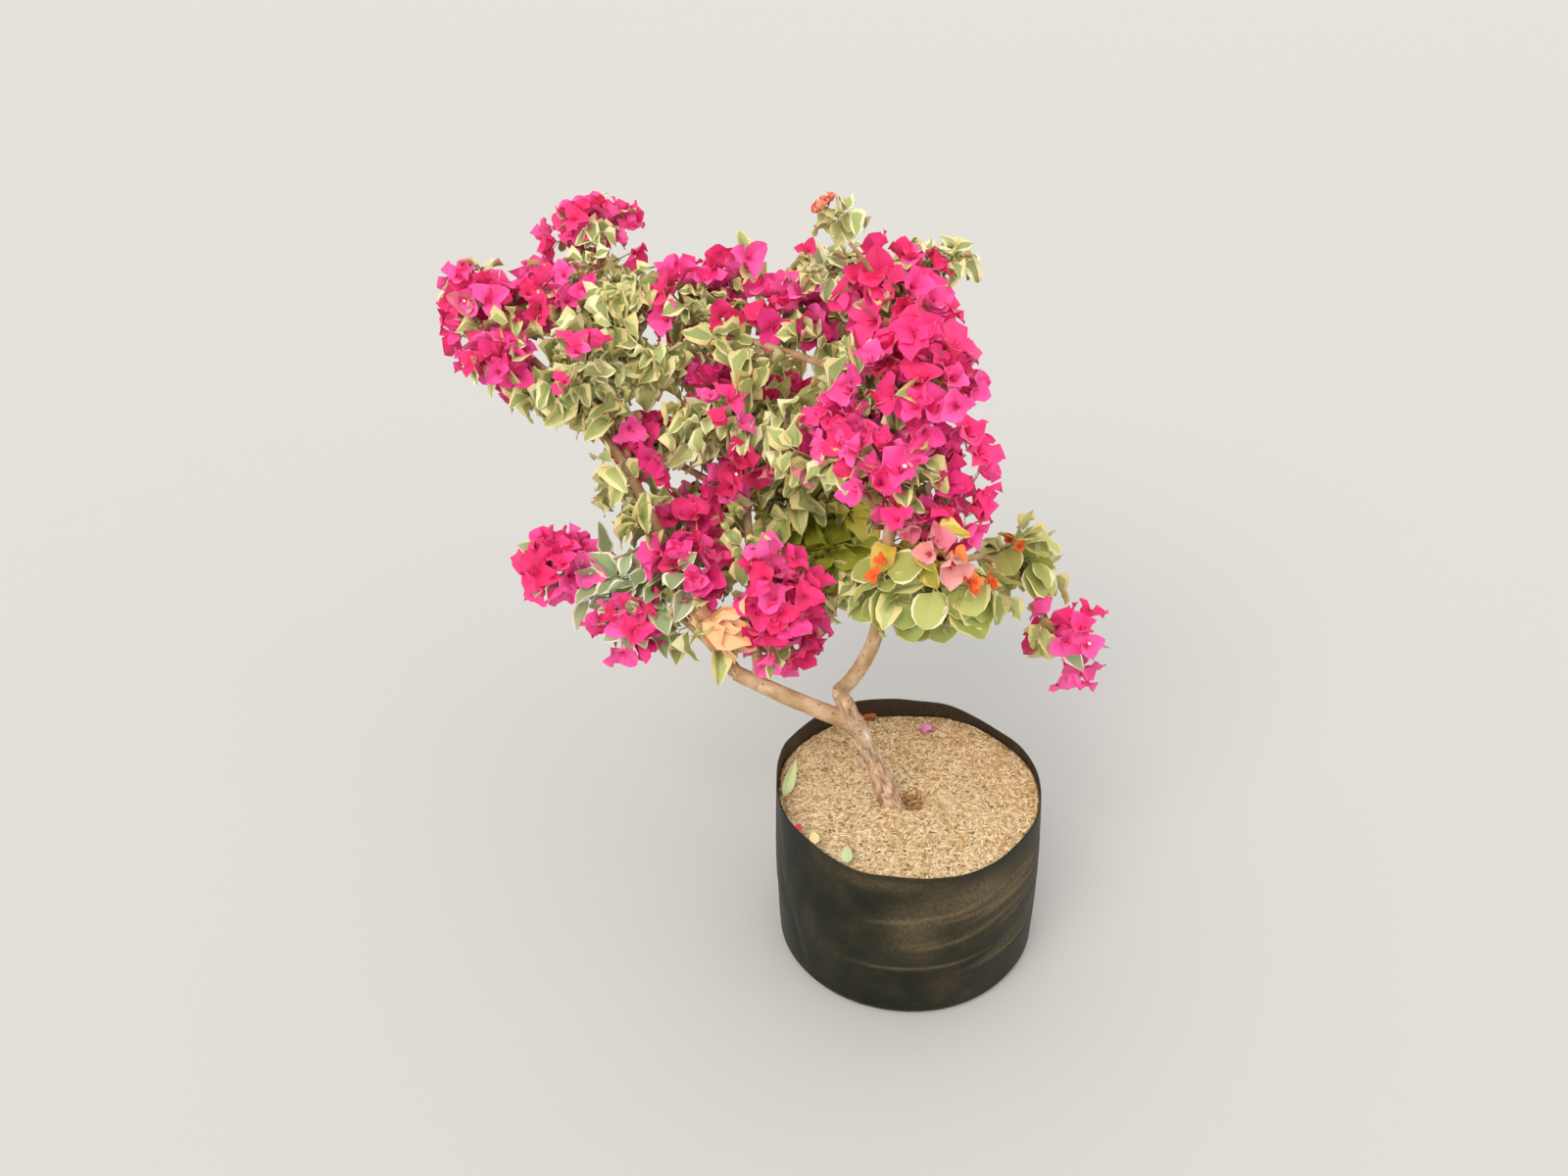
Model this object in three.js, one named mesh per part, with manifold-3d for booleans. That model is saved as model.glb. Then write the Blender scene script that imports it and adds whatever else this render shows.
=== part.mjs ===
// A potted bougainvillea bush: a black nursery bag filled with soil and a mulch of rice hulls,
// a leaning forked trunk, its boughs, and the masses of leaves and bracts that they carry.
// Millimetres, +Z up. The origin is the centre of the bag's flat underside. The bush leans
// towards -X and +Y, and is looked at along +Y.
import * as THREE from "three";
import { mergeVertices } from "three/addons/utils/BufferGeometryUtils.js";
import Module from "manifold-3d";

const wasm = await Module();
wasm.setup();

// The bag and what is in it. A fold is a count of waves round the bag, with their depth and phase.
const BAG_RADIUS = 165;
const BAG_WALL = 3;
const BAG_SIDES = 30;
const BEND_RADIUS = 8; // between the underside and the wall
const RIM_HEIGHT = 231;
const RIM_RISE = 12; // how far the rim stands above its mean height on its highest side
const RIM_RISE_HEADING = 130;
const RIM_FOLDS = [
  { count: 4, depth: 1.6, phase: 1 },
  { count: 7, depth: 1, phase: 0 },
];
const WALL_HEIGHTS = [90, 175]; // rings of points on the wall
const WALL_BELLY = 3.5;
const WALL_FOLDS = [
  { count: 3, depth: 1.6, phase: 0.4 },
  { count: 5, depth: 1.1, phase: 2.1 },
  { count: 8, depth: 0.7, phase: -1 },
];
const FOOT_FOLD_SHARE = 0.25; // how much of the folds is left at the foot
const SOIL_TOP = 192;
const MULCH_TOP = 214;
const MULCH_HUMP_HEIGHT = 2;
const MULCH_HUMP_WIDTH = 30;
const MULCH_RINGS = 3;
const PIT_DEPTH = 9; // the hollow in the mulch beside the trunk
const PIT_RADIUS = 22;
const PIT_OFFSET = [22, 4];

// The clearance between two pieces that touch
const SEAT = 0.35;
const LEAF_SEAT = 0.6;

// The trunk, from its flat cut on the soil to its fork
const TRUNK_FOOT = [-17, -21, SOIL_TOP + SEAT];
const TRUNK = { length: 148, heading: 160, rise: 69, bow: 3 };
const TRUNK_RADIUS = 12.6;
const TRUNK_TAPER = 0.9;
const FLARE = 5; // added to the radius at the foot
const FLARE_FADE = 7; // how fast the flare fades up the trunk
const LIMB_SIDES = 6;
const FEWEST_RINGS = 3;
const RING_SPACING = 75; // along a limb

// Each bough leaves its parent at a share of the parent's length. Its heading is in degrees
// from +X towards +Y, rise is its slope in degrees, bow pushes its middle towards its upper
// side, and radii are those of its two ends.
const BOUGHS = [
  { name: "left", from: "trunk", at: 0.97, length: 157, heading: 164, rise: 19, bow: -3, radii: [11.5, 9.5] },
  { name: "left_rising", from: "left", at: 1, length: 294, heading: 126, rise: 42, bow: -8, radii: [9, 7] },
  { name: "far_left", from: "left_rising", at: 1, length: 218, heading: 138, rise: 32, bow: 8, radii: [6.5, 5] },
  { name: "top_left", from: "left_rising", at: 0.95, length: 374, heading: 104, rise: 34, bow: 12, radii: [5.5, 4] },
  { name: "low_left", from: "left", at: 1, length: 125, heading: 135, rise: 21, bow: 6, radii: [6, 4.5] },
  { name: "middle", from: "left", at: 0.8, length: 226, heading: 93, rise: 45, bow: 8, radii: [6.5, 5.5] },
  { name: "middle_rising", from: "middle", at: 1, length: 111, heading: 150, rise: 21, bow: 4, radii: [5.2, 4.5] },
  { name: "back_left", from: "middle", at: 0.97, length: 215, heading: 95, rise: 25, bow: 10, radii: [5, 4] },
  { name: "kink", from: "trunk", at: 0.97, length: 47, heading: 164, rise: 66, bow: 0, radii: [10.5, 9.5] },
  { name: "right", from: "kink", at: 1, length: 155, heading: -17, rise: 71, bow: -14, radii: [9.5, 8] },
  { name: "upright", from: "right", at: 1, length: 224, heading: 67, rise: 57, bow: 14, radii: [7.8, 6] },
  { name: "crest", from: "upright", at: 1, length: 129, heading: 105, rise: 37, bow: 5, radii: [5.8, 4.5] },
  { name: "level_left", from: "upright", at: 0.95, length: 312, heading: 141, rise: 5, bow: 10, radii: [5.5, 4] },
  { name: "centre", from: "upright", at: 0.35, length: 187, heading: 126, rise: 9, bow: 8, radii: [5, 4] },
  { name: "back", from: "upright", at: 0.7, length: 277, heading: 92, rise: 7, bow: 6, radii: [5.5, 4] },
  { name: "right_arm", from: "right", at: 0.85, length: 166, heading: 39, rise: 2, bow: 12, radii: [5.5, 4.5] },
  { name: "right_tip", from: "right_arm", at: 1, length: 141, heading: 12, rise: -49, bow: 15, radii: [4.2, 3.2] },
  { name: "whip", from: "crest", at: 0.8, length: 110, heading: 188, rise: 60, bow: 6, radii: [3.6, 2.6] },
];

// Each mass of leaves or bracts sits round a place on a bough, moved by off, with its
// half sizes along its own length, width and height, turned by a heading in degrees.
const MASSES = [
  { name: "flowers_top_left", on: "top_left", at: 1, off: [16, 20, 22], half: [62, 56, 44], turn: 20 },
  { name: "flowers_far_left_upper", on: "top_left", at: 0.57, off: [-71, 37, 46], half: [68, 56, 46], turn: 30 },
  { name: "flowers_far_left", on: "far_left", at: 1, off: [-56, 70, 36], half: [62, 66, 64], turn: -20 },
  { name: "flowers_far_left_low", on: "far_left", at: 1, off: [-32, -40, -6], half: [50, 48, 42], turn: 15 },
  { name: "leaves_left", on: "top_left", at: 0.37, off: [-11, 0, 54], half: [76, 56, 44], turn: 25 },
  { name: "leaves_left_low", on: "far_left", at: 0.4, off: [0, -25, 45], half: [68, 54, 50], turn: -15 },
  { name: "flowers_middle_left", on: "level_left", at: 1, off: [-20, 42, 22], half: [66, 56, 42], turn: 10 },
  { name: "flowers_middle_crest", on: "level_left", at: 1, off: [42, 44, 56], half: [34, 34, 30], turn: 0 },
  { name: "flowers_middle_low", on: "middle_rising", at: 1, off: [-38, 23, 16], half: [50, 48, 40], turn: 0 },
  { name: "flowers_middle", on: "middle_rising", at: 1, off: [64, 33, 75], half: [50, 46, 42], turn: 0 },
  { name: "flowers_centre_left", on: "level_left", at: 0.62, off: [10, 57, 26], half: [56, 54, 50], turn: 70 },
  { name: "leaves_centre", on: "centre", at: 1, off: [-66, 50, 8], half: [98, 58, 42], turn: -10 },
  { name: "leaves_crest", on: "crest", at: 1, off: [-58, 75, 17], half: [70, 52, 28], turn: 10 },
  { name: "leaves_crest_right", on: "crest", at: 1, off: [68, 50, 25], half: [62, 52, 32], turn: -12 },
  { name: "flowers_column_top", on: "crest", at: 1, off: [2, 15, -9], half: [64, 52, 46], turn: 0 },
  { name: "flowers_column_upper", on: "upright", at: 1, off: [5, 5, 15], half: [66, 56, 52], turn: 5 },
  { name: "flowers_column_lower", on: "upright", at: 0.5, off: [30, 20, -2], half: [58, 52, 66], turn: 0 },
  { name: "flowers_column_left", on: "upright", at: 0.6, off: [-40, 84, 6], half: [52, 54, 46], turn: 0 },
  { name: "flowers_low", on: "middle", at: 0.4, off: [37, -14, -9], half: [54, 52, 72], turn: 0 },
  { name: "flowers_hanging", on: "middle", at: 1, off: [-70, 22, -28], half: [78, 56, 44], turn: -10 },
  { name: "leaves_low_left", on: "low_left", at: 1, off: [-41, 30, 11], half: [80, 56, 46], turn: -30 },
  { name: "flowers_low_left", on: "low_left", at: 1, off: [-133, 50, 35], half: [60, 52, 42], turn: 0 },
  { name: "leaves_centre_low", on: "middle", at: 1, off: [78, 25, -12], half: [88, 72, 56], turn: 0 },
  { name: "leaves_right", on: "right", at: 0.84, off: [46, 5, 25], half: [86, 56, 42], turn: 15 },
  { name: "leaves_right_tip", on: "right_tip", at: 0.33, off: [4, 15, 4], half: [46, 40, 36], turn: 0 },
  { name: "flowers_right_tip", on: "right_tip", at: 1, off: [25, -20, -29], half: [52, 50, 50], turn: 0 },
  { name: "leaves_whip", on: "whip", at: 1, off: [-8, -10, 18], half: [32, 30, 26], turn: 0 },
  { name: "leaves_back", on: "back", at: 1, off: [-5, 50, 6], half: [84, 64, 44], turn: 20 },
  { name: "flowers_back", on: "back", at: 0.6, off: [56, 40, 10], half: [60, 54, 42], turn: 0 },
  { name: "leaves_back_left", on: "back_left", at: 1, off: [-10, 45, 15], half: [94, 62, 42], turn: 15 },
  { name: "flowers_back_left", on: "back_left", at: 0.55, off: [50, 32, 18], half: [58, 54, 42], turn: 0 },
  { name: "leaves_upper_left", on: "top_left", at: 0.58, off: [42, -26, 55], half: [56, 50, 40], turn: 10 },
  { name: "leaves_middle_left", on: "top_left", at: 0.33, off: [49, -23, 46], half: [52, 50, 46], turn: 0 },
  { name: "flowers_lower_middle", on: "left_rising", at: 0.49, off: [6, -8, 11], half: [60, 48, 40], turn: -10 },
  { name: "flowers_low_tip", on: "low_left", at: 1, off: [-60, -20, -12], half: [42, 40, 32], turn: 0 },
  { name: "leaves_centre_bottom", on: "middle", at: 0.64, off: [98, 23, -19], half: [46, 50, 56], turn: 0 },
  { name: "leaves_column_foot", on: "upright", at: 0.18, off: [34, -2, -1], half: [50, 44, 27], turn: 0 },
  { name: "flowers_middle_under", on: "middle_rising", at: 0.23, off: [15, 0, 27], half: [40, 36, 30], turn: 0 },
];
const MASS_SIDES = 10;
const MASS_RINGS = 6;
const LUMPS = 7; // swellings and hollows on each mass
const LUMP_SHARE = 0.16;
const LUMP_SHARPNESS = 4;

const LOOKS = {
  bag: { color: 0x23231f, roughness: 0.6 },
  soil: { color: 0x4a3a2a, roughness: 0.95 },
  mulch: { color: 0xc9a266, roughness: 0.9 },
  bark: { color: 0xa08560, roughness: 0.85 },
  flowers: { color: 0xe0287f, roughness: 0.7 },
  leaves: { color: 0x9aa765, roughness: 0.7 },
};

const UP = new THREE.Vector3(0, 0, 1);
const radians = THREE.MathUtils.degToRad;

// A seeded source of numbers from 0 to 1, with its own run for each name
function randomFor(name) {
  const whole = 2 ** 32;
  let state = [...name].reduce((sum, letter) => (sum * 31 + letter.charCodeAt(0)) % whole, 7);
  return () => {
    state = (Math.imul(state, 1664525) + 1013904223) >>> 0;
    return state / whole;
  };
}

function solidOf(geometry) {
  const bare = geometry.clone();
  bare.deleteAttribute("normal");
  bare.deleteAttribute("uv");
  const merged = mergeVertices(bare, 1e-3);
  const mesh = new wasm.Mesh({
    numProp: 3,
    vertProperties: new Float32Array(merged.attributes.position.array),
    triVerts: new Uint32Array(merged.index.array),
  });
  return new wasm.Manifold(mesh);
}

function geometryOf(solid) {
  const mesh = solid.getMesh();
  const geometry = new THREE.BufferGeometry();
  geometry.setAttribute("position", new THREE.BufferAttribute(new Float32Array(mesh.vertProperties), 3));
  geometry.setIndex(new THREE.BufferAttribute(new Uint32Array(mesh.triVerts), 1));
  geometry.computeVertexNormals();
  return geometry;
}

// The largest body of a solid, without the crumbs that a cut leaves
function mainBody(solid) {
  return solid.decompose().reduce((best, body) => (body.volume() > best.volume() ? body : best));
}

function moveVertices(geometry, move) {
  const position = geometry.attributes.position;
  const point = new THREE.Vector3();
  for (let i = 0; i < position.count; i++) {
    point.fromBufferAttribute(position, i);
    move(point);
    position.setXYZ(i, point.x, point.y, point.z);
  }
  return geometry;
}

function foldsAt(folds, angle) {
  return folds.reduce((sum, { count, depth, phase }) => sum + depth * Math.sin(count * angle + phase), 0);
}

// How far the bag's soft wall stands out: a belly, and folds that fade towards its foot
function wallSwell(angle, height) {
  const share = Math.min(1, height / RIM_HEIGHT);
  const foldShare = THREE.MathUtils.lerp(FOOT_FOLD_SHARE, 1, share);
  return foldsAt(WALL_FOLDS, angle) * foldShare + WALL_BELLY * Math.sin(Math.PI * share);
}

// A turned body whose profile runs from the axis to the axis, swollen as the bag is
function turned(profile) {
  const points = profile.map(([radius, height]) => new THREE.Vector2(radius, height));
  const geometry = new THREE.LatheGeometry(points, BAG_SIDES).rotateX(Math.PI / 2);
  return moveVertices(geometry, (point) => {
    const radius = Math.hypot(point.x, point.y);
    const angle = Math.atan2(point.y, point.x);
    const swollen = 1 + wallSwell(angle, point.z) / BAG_RADIUS;
    if (radius > SEAT) point.set(point.x * swollen, point.y * swollen, point.z);
  });
}

// The bag: an open cup of one wall, whose rim is uneven and higher at the back left
function bagSolid() {
  const inside = BAG_RADIUS - BAG_WALL;
  const profile = [
    [0, 0],
    [BAG_RADIUS - BEND_RADIUS, 0],
    [BAG_RADIUS, BEND_RADIUS],
    ...WALL_HEIGHTS.map((height) => [BAG_RADIUS, height]),
    [BAG_RADIUS, RIM_HEIGHT - BAG_WALL / 2],
    [BAG_RADIUS - BAG_WALL / 2, RIM_HEIGHT],
    [inside, RIM_HEIGHT - BAG_WALL / 2],
    ...WALL_HEIGHTS.toReversed().map((height) => [inside, height]),
    [inside, BEND_RADIUS + 1],
    [inside - BEND_RADIUS / 2, BAG_WALL],
    [0, BAG_WALL],
  ];
  const foldStart = WALL_HEIGHTS.at(-1);
  const geometry = moveVertices(turned(profile), (point) => {
    const angle = Math.atan2(point.y, point.x);
    const share = Math.max(0, (point.z - foldStart) / (RIM_HEIGHT - foldStart));
    const rise = RIM_RISE * Math.cos(angle - radians(RIM_RISE_HEADING));
    point.z += share * (rise + foldsAt(RIM_FOLDS, angle));
  });
  return solidOf(geometry);
}

function soilSolid() {
  const edge = BAG_RADIUS - BAG_WALL - 2 * SEAT;
  const profile = [
    [0, BAG_WALL + SEAT],
    [edge - BEND_RADIUS / 2 - SEAT, BAG_WALL + SEAT],
    [edge, BEND_RADIUS + 1 + SEAT],
    ...WALL_HEIGHTS.map((height) => [edge, height]),
    [edge, SOIL_TOP],
    [0, SOIL_TOP],
  ];
  return solidOf(turned(profile));
}

// The mulch: a thin round slab with a gently uneven top, and a pit beside the trunk
function mulchSolid() {
  const edge = BAG_RADIUS - BAG_WALL - 3 * SEAT;
  const rings = Array.from({ length: MULCH_RINGS }, (_, ring) => edge * (1 - ring / MULCH_RINGS));
  const profile = [
    [0, SOIL_TOP + SEAT],
    [edge, SOIL_TOP + SEAT],
    ...rings.map((radius) => [radius, MULCH_TOP]),
    [0, MULCH_TOP],
  ];
  const pit = new THREE.Vector2(TRUNK_FOOT[0] + PIT_OFFSET[0], TRUNK_FOOT[1] + PIT_OFFSET[1]);
  const geometry = moveVertices(turned(profile), (point) => {
    if (point.z < MULCH_TOP) return;
    const humps = Math.sin(point.x / MULCH_HUMP_WIDTH + 1) * Math.sin(point.y / MULCH_HUMP_WIDTH);
    const away = Math.hypot(point.x - pit.x, point.y - pit.y) / PIT_RADIUS;
    point.z += MULCH_HUMP_HEIGHT * humps - PIT_DEPTH * Math.exp(-away * away);
  });
  return solidOf(geometry);
}

function directionOf(heading, rise) {
  const level = new THREE.Vector3(Math.cos(radians(rise)), 0, Math.sin(radians(rise)));
  return level.applyAxisAngle(UP, radians(heading));
}

// The middle line of a limb: it starts at a point, bows, and ends at its length
function routeOf(start, { length, heading, rise, bow }) {
  const end = start.clone().addScaledVector(directionOf(heading, rise), length);
  const middle = start.clone().lerp(end, 0.5).addScaledVector(directionOf(heading, rise + 90), 2 * bow);
  return new THREE.QuadraticBezierCurve3(start, middle, end);
}

// A limb as a cylinder bent along its route, with its own radius at each ring. Its rings and
// its ends stand out by extra, which makes the sleeve that its neighbours are cut with.
function limbSolid({ route, radiusAt, flatFoot }, extra) {
  const rings = Math.max(FEWEST_RINGS, Math.round(route.getLength() / RING_SPACING));
  const frames = route.computeFrenetFrames(rings, false);
  const cylinder = new THREE.CylinderGeometry(1, 1, 1, LIMB_SIDES, rings);
  moveVertices(cylinder, (point) => {
    const ring = Math.round((0.5 - point.y) * rings);
    const share = ring / rings;
    const side = point.x * (radiusAt(share) + extra);
    const over = point.z * (radiusAt(share) + extra);
    const past = (ring === rings) * extra - (ring === 0) * extra;
    point.copy(route.getPointAt(share));
    point.addScaledVector(frames.normals[ring], side).addScaledVector(frames.binormals[ring], over);
    point.addScaledVector(frames.tangents[ring], past);
    if (flatFoot && ring === 0) point.z = route.v0.z - extra;
  });
  return solidOf(cylinder);
}

// Every limb's route and radius, the trunk first
function allLimbs() {
  const foot = new THREE.Vector3(...TRUNK_FOOT);
  const trunkRadius = (share) => TRUNK_RADIUS - TRUNK_TAPER * share + FLARE * Math.exp(-FLARE_FADE * share);
  const found = new Map([["trunk", { route: routeOf(foot, TRUNK), radiusAt: trunkRadius, flatFoot: true }]]);
  for (const bough of BOUGHS) {
    const start = found.get(bough.from).route.getPointAt(bough.at);
    const radiusAt = (share) => THREE.MathUtils.lerp(bough.radii[0], bough.radii[1], share);
    found.set(bough.name, { route: routeOf(start, bough), radiusAt, flatFoot: false });
  }
  return found;
}

// A mass as a sphere pulled to its half sizes, with seeded lumps and hollows, all over
// grown by extra
function massSolid({ name, half, turn }, centre, extra) {
  const random = randomFor(name);
  const anyWay = () => directionOf(360 * random(), THREE.MathUtils.radToDeg(Math.asin(2 * random() - 1)));
  const lumps = Array.from({ length: LUMPS }, () => ({
    towards: anyWay(),
    height: LUMP_SHARE * (2 * random() - 1),
  }));
  const sphere = new THREE.SphereGeometry(1, MASS_SIDES, MASS_RINGS).rotateX(Math.PI / 2);
  moveVertices(sphere, (point) => {
    const lumpAt = ({ towards, height }) => height * Math.exp(LUMP_SHARPNESS * (point.dot(towards) - 1));
    const swell = lumps.reduce((sum, lump) => sum + lumpAt(lump), 1);
    const grown = point.clone().multiplyScalar(extra);
    point.multiplyScalar(swell).multiply(new THREE.Vector3(...half)).add(grown);
    point.applyAxisAngle(UP, radians(turn)).add(centre);
  });
  return solidOf(sphere);
}

const bush = new THREE.Group();

function show(name, look, solid) {
  const material = new THREE.MeshStandardMaterial({ ...LOOKS[look], metalness: 0 });
  const mesh = new THREE.Mesh(geometryOf(solid), material);
  mesh.name = name;
  bush.add(mesh);
}

// A limb gives way to the limbs before it, and a mass to every limb and to the masses before it
const limbs = allLimbs();
const sleeves = [];
for (const [name, limb] of limbs) {
  const solid = sleeves.reduce((rest, sleeve) => rest.subtract(sleeve), limbSolid(limb, 0));
  show(name === "trunk" ? name : `bough_${name}`, "bark", mainBody(solid));
  sleeves.push(limbSolid(limb, SEAT));
}
for (const mass of MASSES) {
  const centre = limbs.get(mass.on).route.getPointAt(mass.at).add(new THREE.Vector3(...mass.off));
  const solid = sleeves.reduce((rest, sleeve) => rest.subtract(sleeve), massSolid(mass, centre, 0));
  show(mass.name, mass.name.split("_")[0], mainBody(solid));
  sleeves.push(massSolid(mass, centre, LEAF_SEAT));
}
show("bag", "bag", bagSolid());
show("soil", "soil", soilSolid());
show("mulch", "mulch", mainBody(mulchSolid().subtract(limbSolid(limbs.get("trunk"), SEAT))));

export default bush;
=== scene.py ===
"""A potted bougainvillea bush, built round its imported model.

The bush stands in a black nursery bag with a mulch of rice hulls. One skin of bark covers its
trunk and boughs, and its crown of twigs, leaves and bracts grows on from the boughs by a
seeded rule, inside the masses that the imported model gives. The sizes in the tables are
millimetres and degrees, and everything that is built is in metres.
"""
import functools
import math
import random

import bmesh
import bpy
import numpy as np
from mathutils import Matrix, Vector, kdtree, noise


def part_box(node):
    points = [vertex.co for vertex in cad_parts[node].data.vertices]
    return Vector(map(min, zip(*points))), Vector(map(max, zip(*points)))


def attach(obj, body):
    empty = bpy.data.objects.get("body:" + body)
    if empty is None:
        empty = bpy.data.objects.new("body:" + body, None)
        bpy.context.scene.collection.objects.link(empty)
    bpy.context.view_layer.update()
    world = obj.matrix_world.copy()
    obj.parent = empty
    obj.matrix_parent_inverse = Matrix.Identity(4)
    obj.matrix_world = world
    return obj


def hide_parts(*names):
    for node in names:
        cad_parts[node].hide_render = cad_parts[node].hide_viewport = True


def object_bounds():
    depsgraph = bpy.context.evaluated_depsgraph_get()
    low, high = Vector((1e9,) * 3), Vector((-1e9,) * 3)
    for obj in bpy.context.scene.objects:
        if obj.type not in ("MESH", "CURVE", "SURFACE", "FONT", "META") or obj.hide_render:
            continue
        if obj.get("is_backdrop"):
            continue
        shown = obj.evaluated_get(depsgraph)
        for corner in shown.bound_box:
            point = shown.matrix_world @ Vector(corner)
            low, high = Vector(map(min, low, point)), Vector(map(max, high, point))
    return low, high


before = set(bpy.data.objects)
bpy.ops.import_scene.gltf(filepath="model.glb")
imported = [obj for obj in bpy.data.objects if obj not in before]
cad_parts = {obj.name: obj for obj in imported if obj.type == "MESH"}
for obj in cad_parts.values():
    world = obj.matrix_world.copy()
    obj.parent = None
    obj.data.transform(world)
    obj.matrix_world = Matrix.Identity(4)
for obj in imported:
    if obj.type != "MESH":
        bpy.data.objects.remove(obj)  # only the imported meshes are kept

bl_info = {
    "name": "Potted bougainvillea",
    "version": (1, 0, 0),
    "blender": (4, 5, 0),
    "location": "3D View > Sidebar > Bush",
    "description": "Builds a potted bougainvillea bush with its leaves and bracts",
    "category": "Object",
}

CAD_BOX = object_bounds()
MM = 0.001
UP = np.array([0.0, 0.0, 1.0])

# The bag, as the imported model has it. A fold is a count of waves round the bag, their depth and
# their phase.
BAG_RADIUS = 165
BAG_FOOT_BEND = 8
BAG_FILM = 1.4
RIM_HEIGHT = 231
RIM_RISE = 12
RIM_RISE_HEADING = 130
RIM_FOLDS = [(4, 1.6, 1), (7, 1, 0), (11, 0.6, 2.2), (17, 0.35, 0.7)]
RIM_FOLD_START = 175
WALL_BELLY = 3.5
WALL_FOLDS = [(3, 1.6, 0.4), (5, 1.1, 2.1), (8, 0.7, -1)]
FOOT_FOLD_SHARE = 0.25
BAG_STEPS = 240
BAG_RINGS = 84
BAG_FOOT_RINGS = 4
# The share of the creases that are level and fine, the ranges that these and the steep ones are
# drawn from, and the dust in the level ones. The ranges are of a heading and half width in
# degrees, a height, a slope, a depth and a thickness.
LEVEL_SHARE = 0.75
LEVEL_CREASE = ((-92, 30), (10, 30), (60, 208), (-4, 28), (0.4, 1.1), (2, 3.8))
STEEP_CREASE = ((80, 260), (4, 10), (60, 208), (150, 420), (0.8, 2.2), (14, 30))
LEVEL_CREASE_DUST = (0.15, 0.8)
# Dust rubbed on the bag: the middle of each patch as a heading and a height, its half width in
# degrees, its half height, and how thick it lies
DUST_PATCHES = [
    (-93, 146, 12, 44, 0.66),
    (-106, 216, 16, 12, 0.5),
    (-66, 188, 17, 28, 0.85),
    (-44, 165, 20, 40, 0.4),
    (60, 120, 25, 60, 0.7),
]
INSIDE_DUST = 0.25

# The mulch, and the hollow in it beside the trunk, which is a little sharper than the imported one
SOIL_TOP = 192
MULCH_TOP = 214
HUMP_HEIGHT = 2
HUMP_WIDTH = 30
PIT_DEPTH = 15
PIT_RADIUS = 18
PIT_PLACE = (4, -16)
MULCH_STEPS = 120
MULCH_RINGS = 48
SEAT_GAP = 0.35
EDGE_GAP = 0.4
# The hulls: how far their middles stay from the film and from the trunk, how wide the row is that
# lies along the wall, and over what distances the way that they lie and their tone change
HULL_INSET = 3.2
TRUNK_ROOM = 1
WALL_ROW = 3
HULL_DRIFT = 33
HULL_PATCH = 45
HOLLOW_SHADE_SHARE = 0.4  # where the hollow has more than this share of its depth, the hulls take darker tones, painted shade
# A hull's width, rise and bow, as shares of its length
HULL_WIDTH = 0.22
HULL_RISE = 0.11
HULL_BOW = 0.04
# The ranges of a hull's size against the usual one and of its height over the bed, and how far,
# in radians, its heading strays in the open and along the wall, and its tilt anywhere
HULL_SIZES = (0.78, 1.12)
HULL_LIFTS = (-0.2, 1.5)
HULL_TURN = 0.6
WALL_TURN = 0.2
HULL_TILT = 0.42
# How often each tone of the hulls comes in the hollow, where the darker tones are painted shade, and in the
# open, and what warmth adds there
HOLLOW_SHADE_TONES = (1, 1, 3, 8, 7)
OPEN_TONES = (5, 3, 3, 1, 0.15)
WARM_TONES = (0, 0, 0, 5, 0)

# The trunk: its foot, the share of its length where it forks, and how it flares and narrows
TRUNK_FOOT = (-17, -21, SOIL_TOP + SEAT_GAP)
FORK_SHARE = 0.97
FLARE = 5
FLARE_FADE = 7
WAIST = 1.6
# Each limb: the limb that it leaves, at what share of that one, its length, heading, slope
# and bow, and the radii of its two ends
LIMBS = {
    "trunk": (None, 0, 148, 160, 69, 3, 12.6, 11.7),
    "left": ("trunk", FORK_SHARE, 157, 164, 19, -3, 11.5, 9.5),
    "left_rising": ("left", 1, 294, 126, 42, -8, 9, 7),
    "far_left": ("left_rising", 1, 218, 138, 32, 8, 6.5, 5),
    "top_left": ("left_rising", 0.95, 374, 104, 34, 12, 5.5, 4),
    "low_left": ("left", 1, 125, 135, 21, 6, 6, 4.5),
    "middle": ("left", 0.8, 226, 93, 45, 8, 6.5, 5.5),
    "middle_rising": ("middle", 1, 111, 150, 21, 4, 5.2, 4.5),
    "back_left": ("middle", 0.97, 215, 95, 25, 10, 5, 4),
    "kink": ("trunk", FORK_SHARE, 47, 164, 66, 0, 10.5, 9.5),
    "right": ("kink", 1, 155, -17, 71, -14, 9.5, 8),
    "upright": ("right", 1, 224, 67, 57, 14, 7.8, 6),
    "crest": ("upright", 1, 129, 105, 37, 5, 5.8, 4.5),
    "level_left": ("upright", 0.95, 312, 141, 5, 10, 5.5, 4),
    "centre": ("upright", 0.35, 187, 126, 9, 8, 5, 4),
    "back": ("upright", 0.7, 277, 92, 7, 6, 5.5, 4),
    "right_arm": ("right", 0.85, 166, 39, 2, 12, 5.5, 4.5),
    "right_tip": ("right_arm", 1, 141, 12, -49, 15, 4.2, 3.2),
    "whip": ("crest", 0.8, 110, 188, 60, 6, 3.6, 2.6),
}
LIMB_STEP = 4
LEAST_LIMB_STEPS = 6
LIMB_SIDES = 20
BARK_VOXEL = 1.5
# The pruned stub at the elbow and the swelling round the fork: how far each begins behind its
# place and ends past it, both with a heading and a slope, and its radii from end to end
STUB = ((5, 164, 30), (9, 175, 42), (8, 8.6, 8, 6.6, 4.6))
FORK_SWELLING = ((13, 160, 69), (11, 165, 40), (9.5, 12.4, 13.4, 13.4, 12.8, 11.6, 8))
BARK_SMOOTHINGS = 3
# How many ridges and lumps the bark has to a metre
RIDGES_ACROSS = 130
RIDGES_ALONG = 45
LUMPS = 50
RIDGE_STEEPNESS = 3
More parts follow.
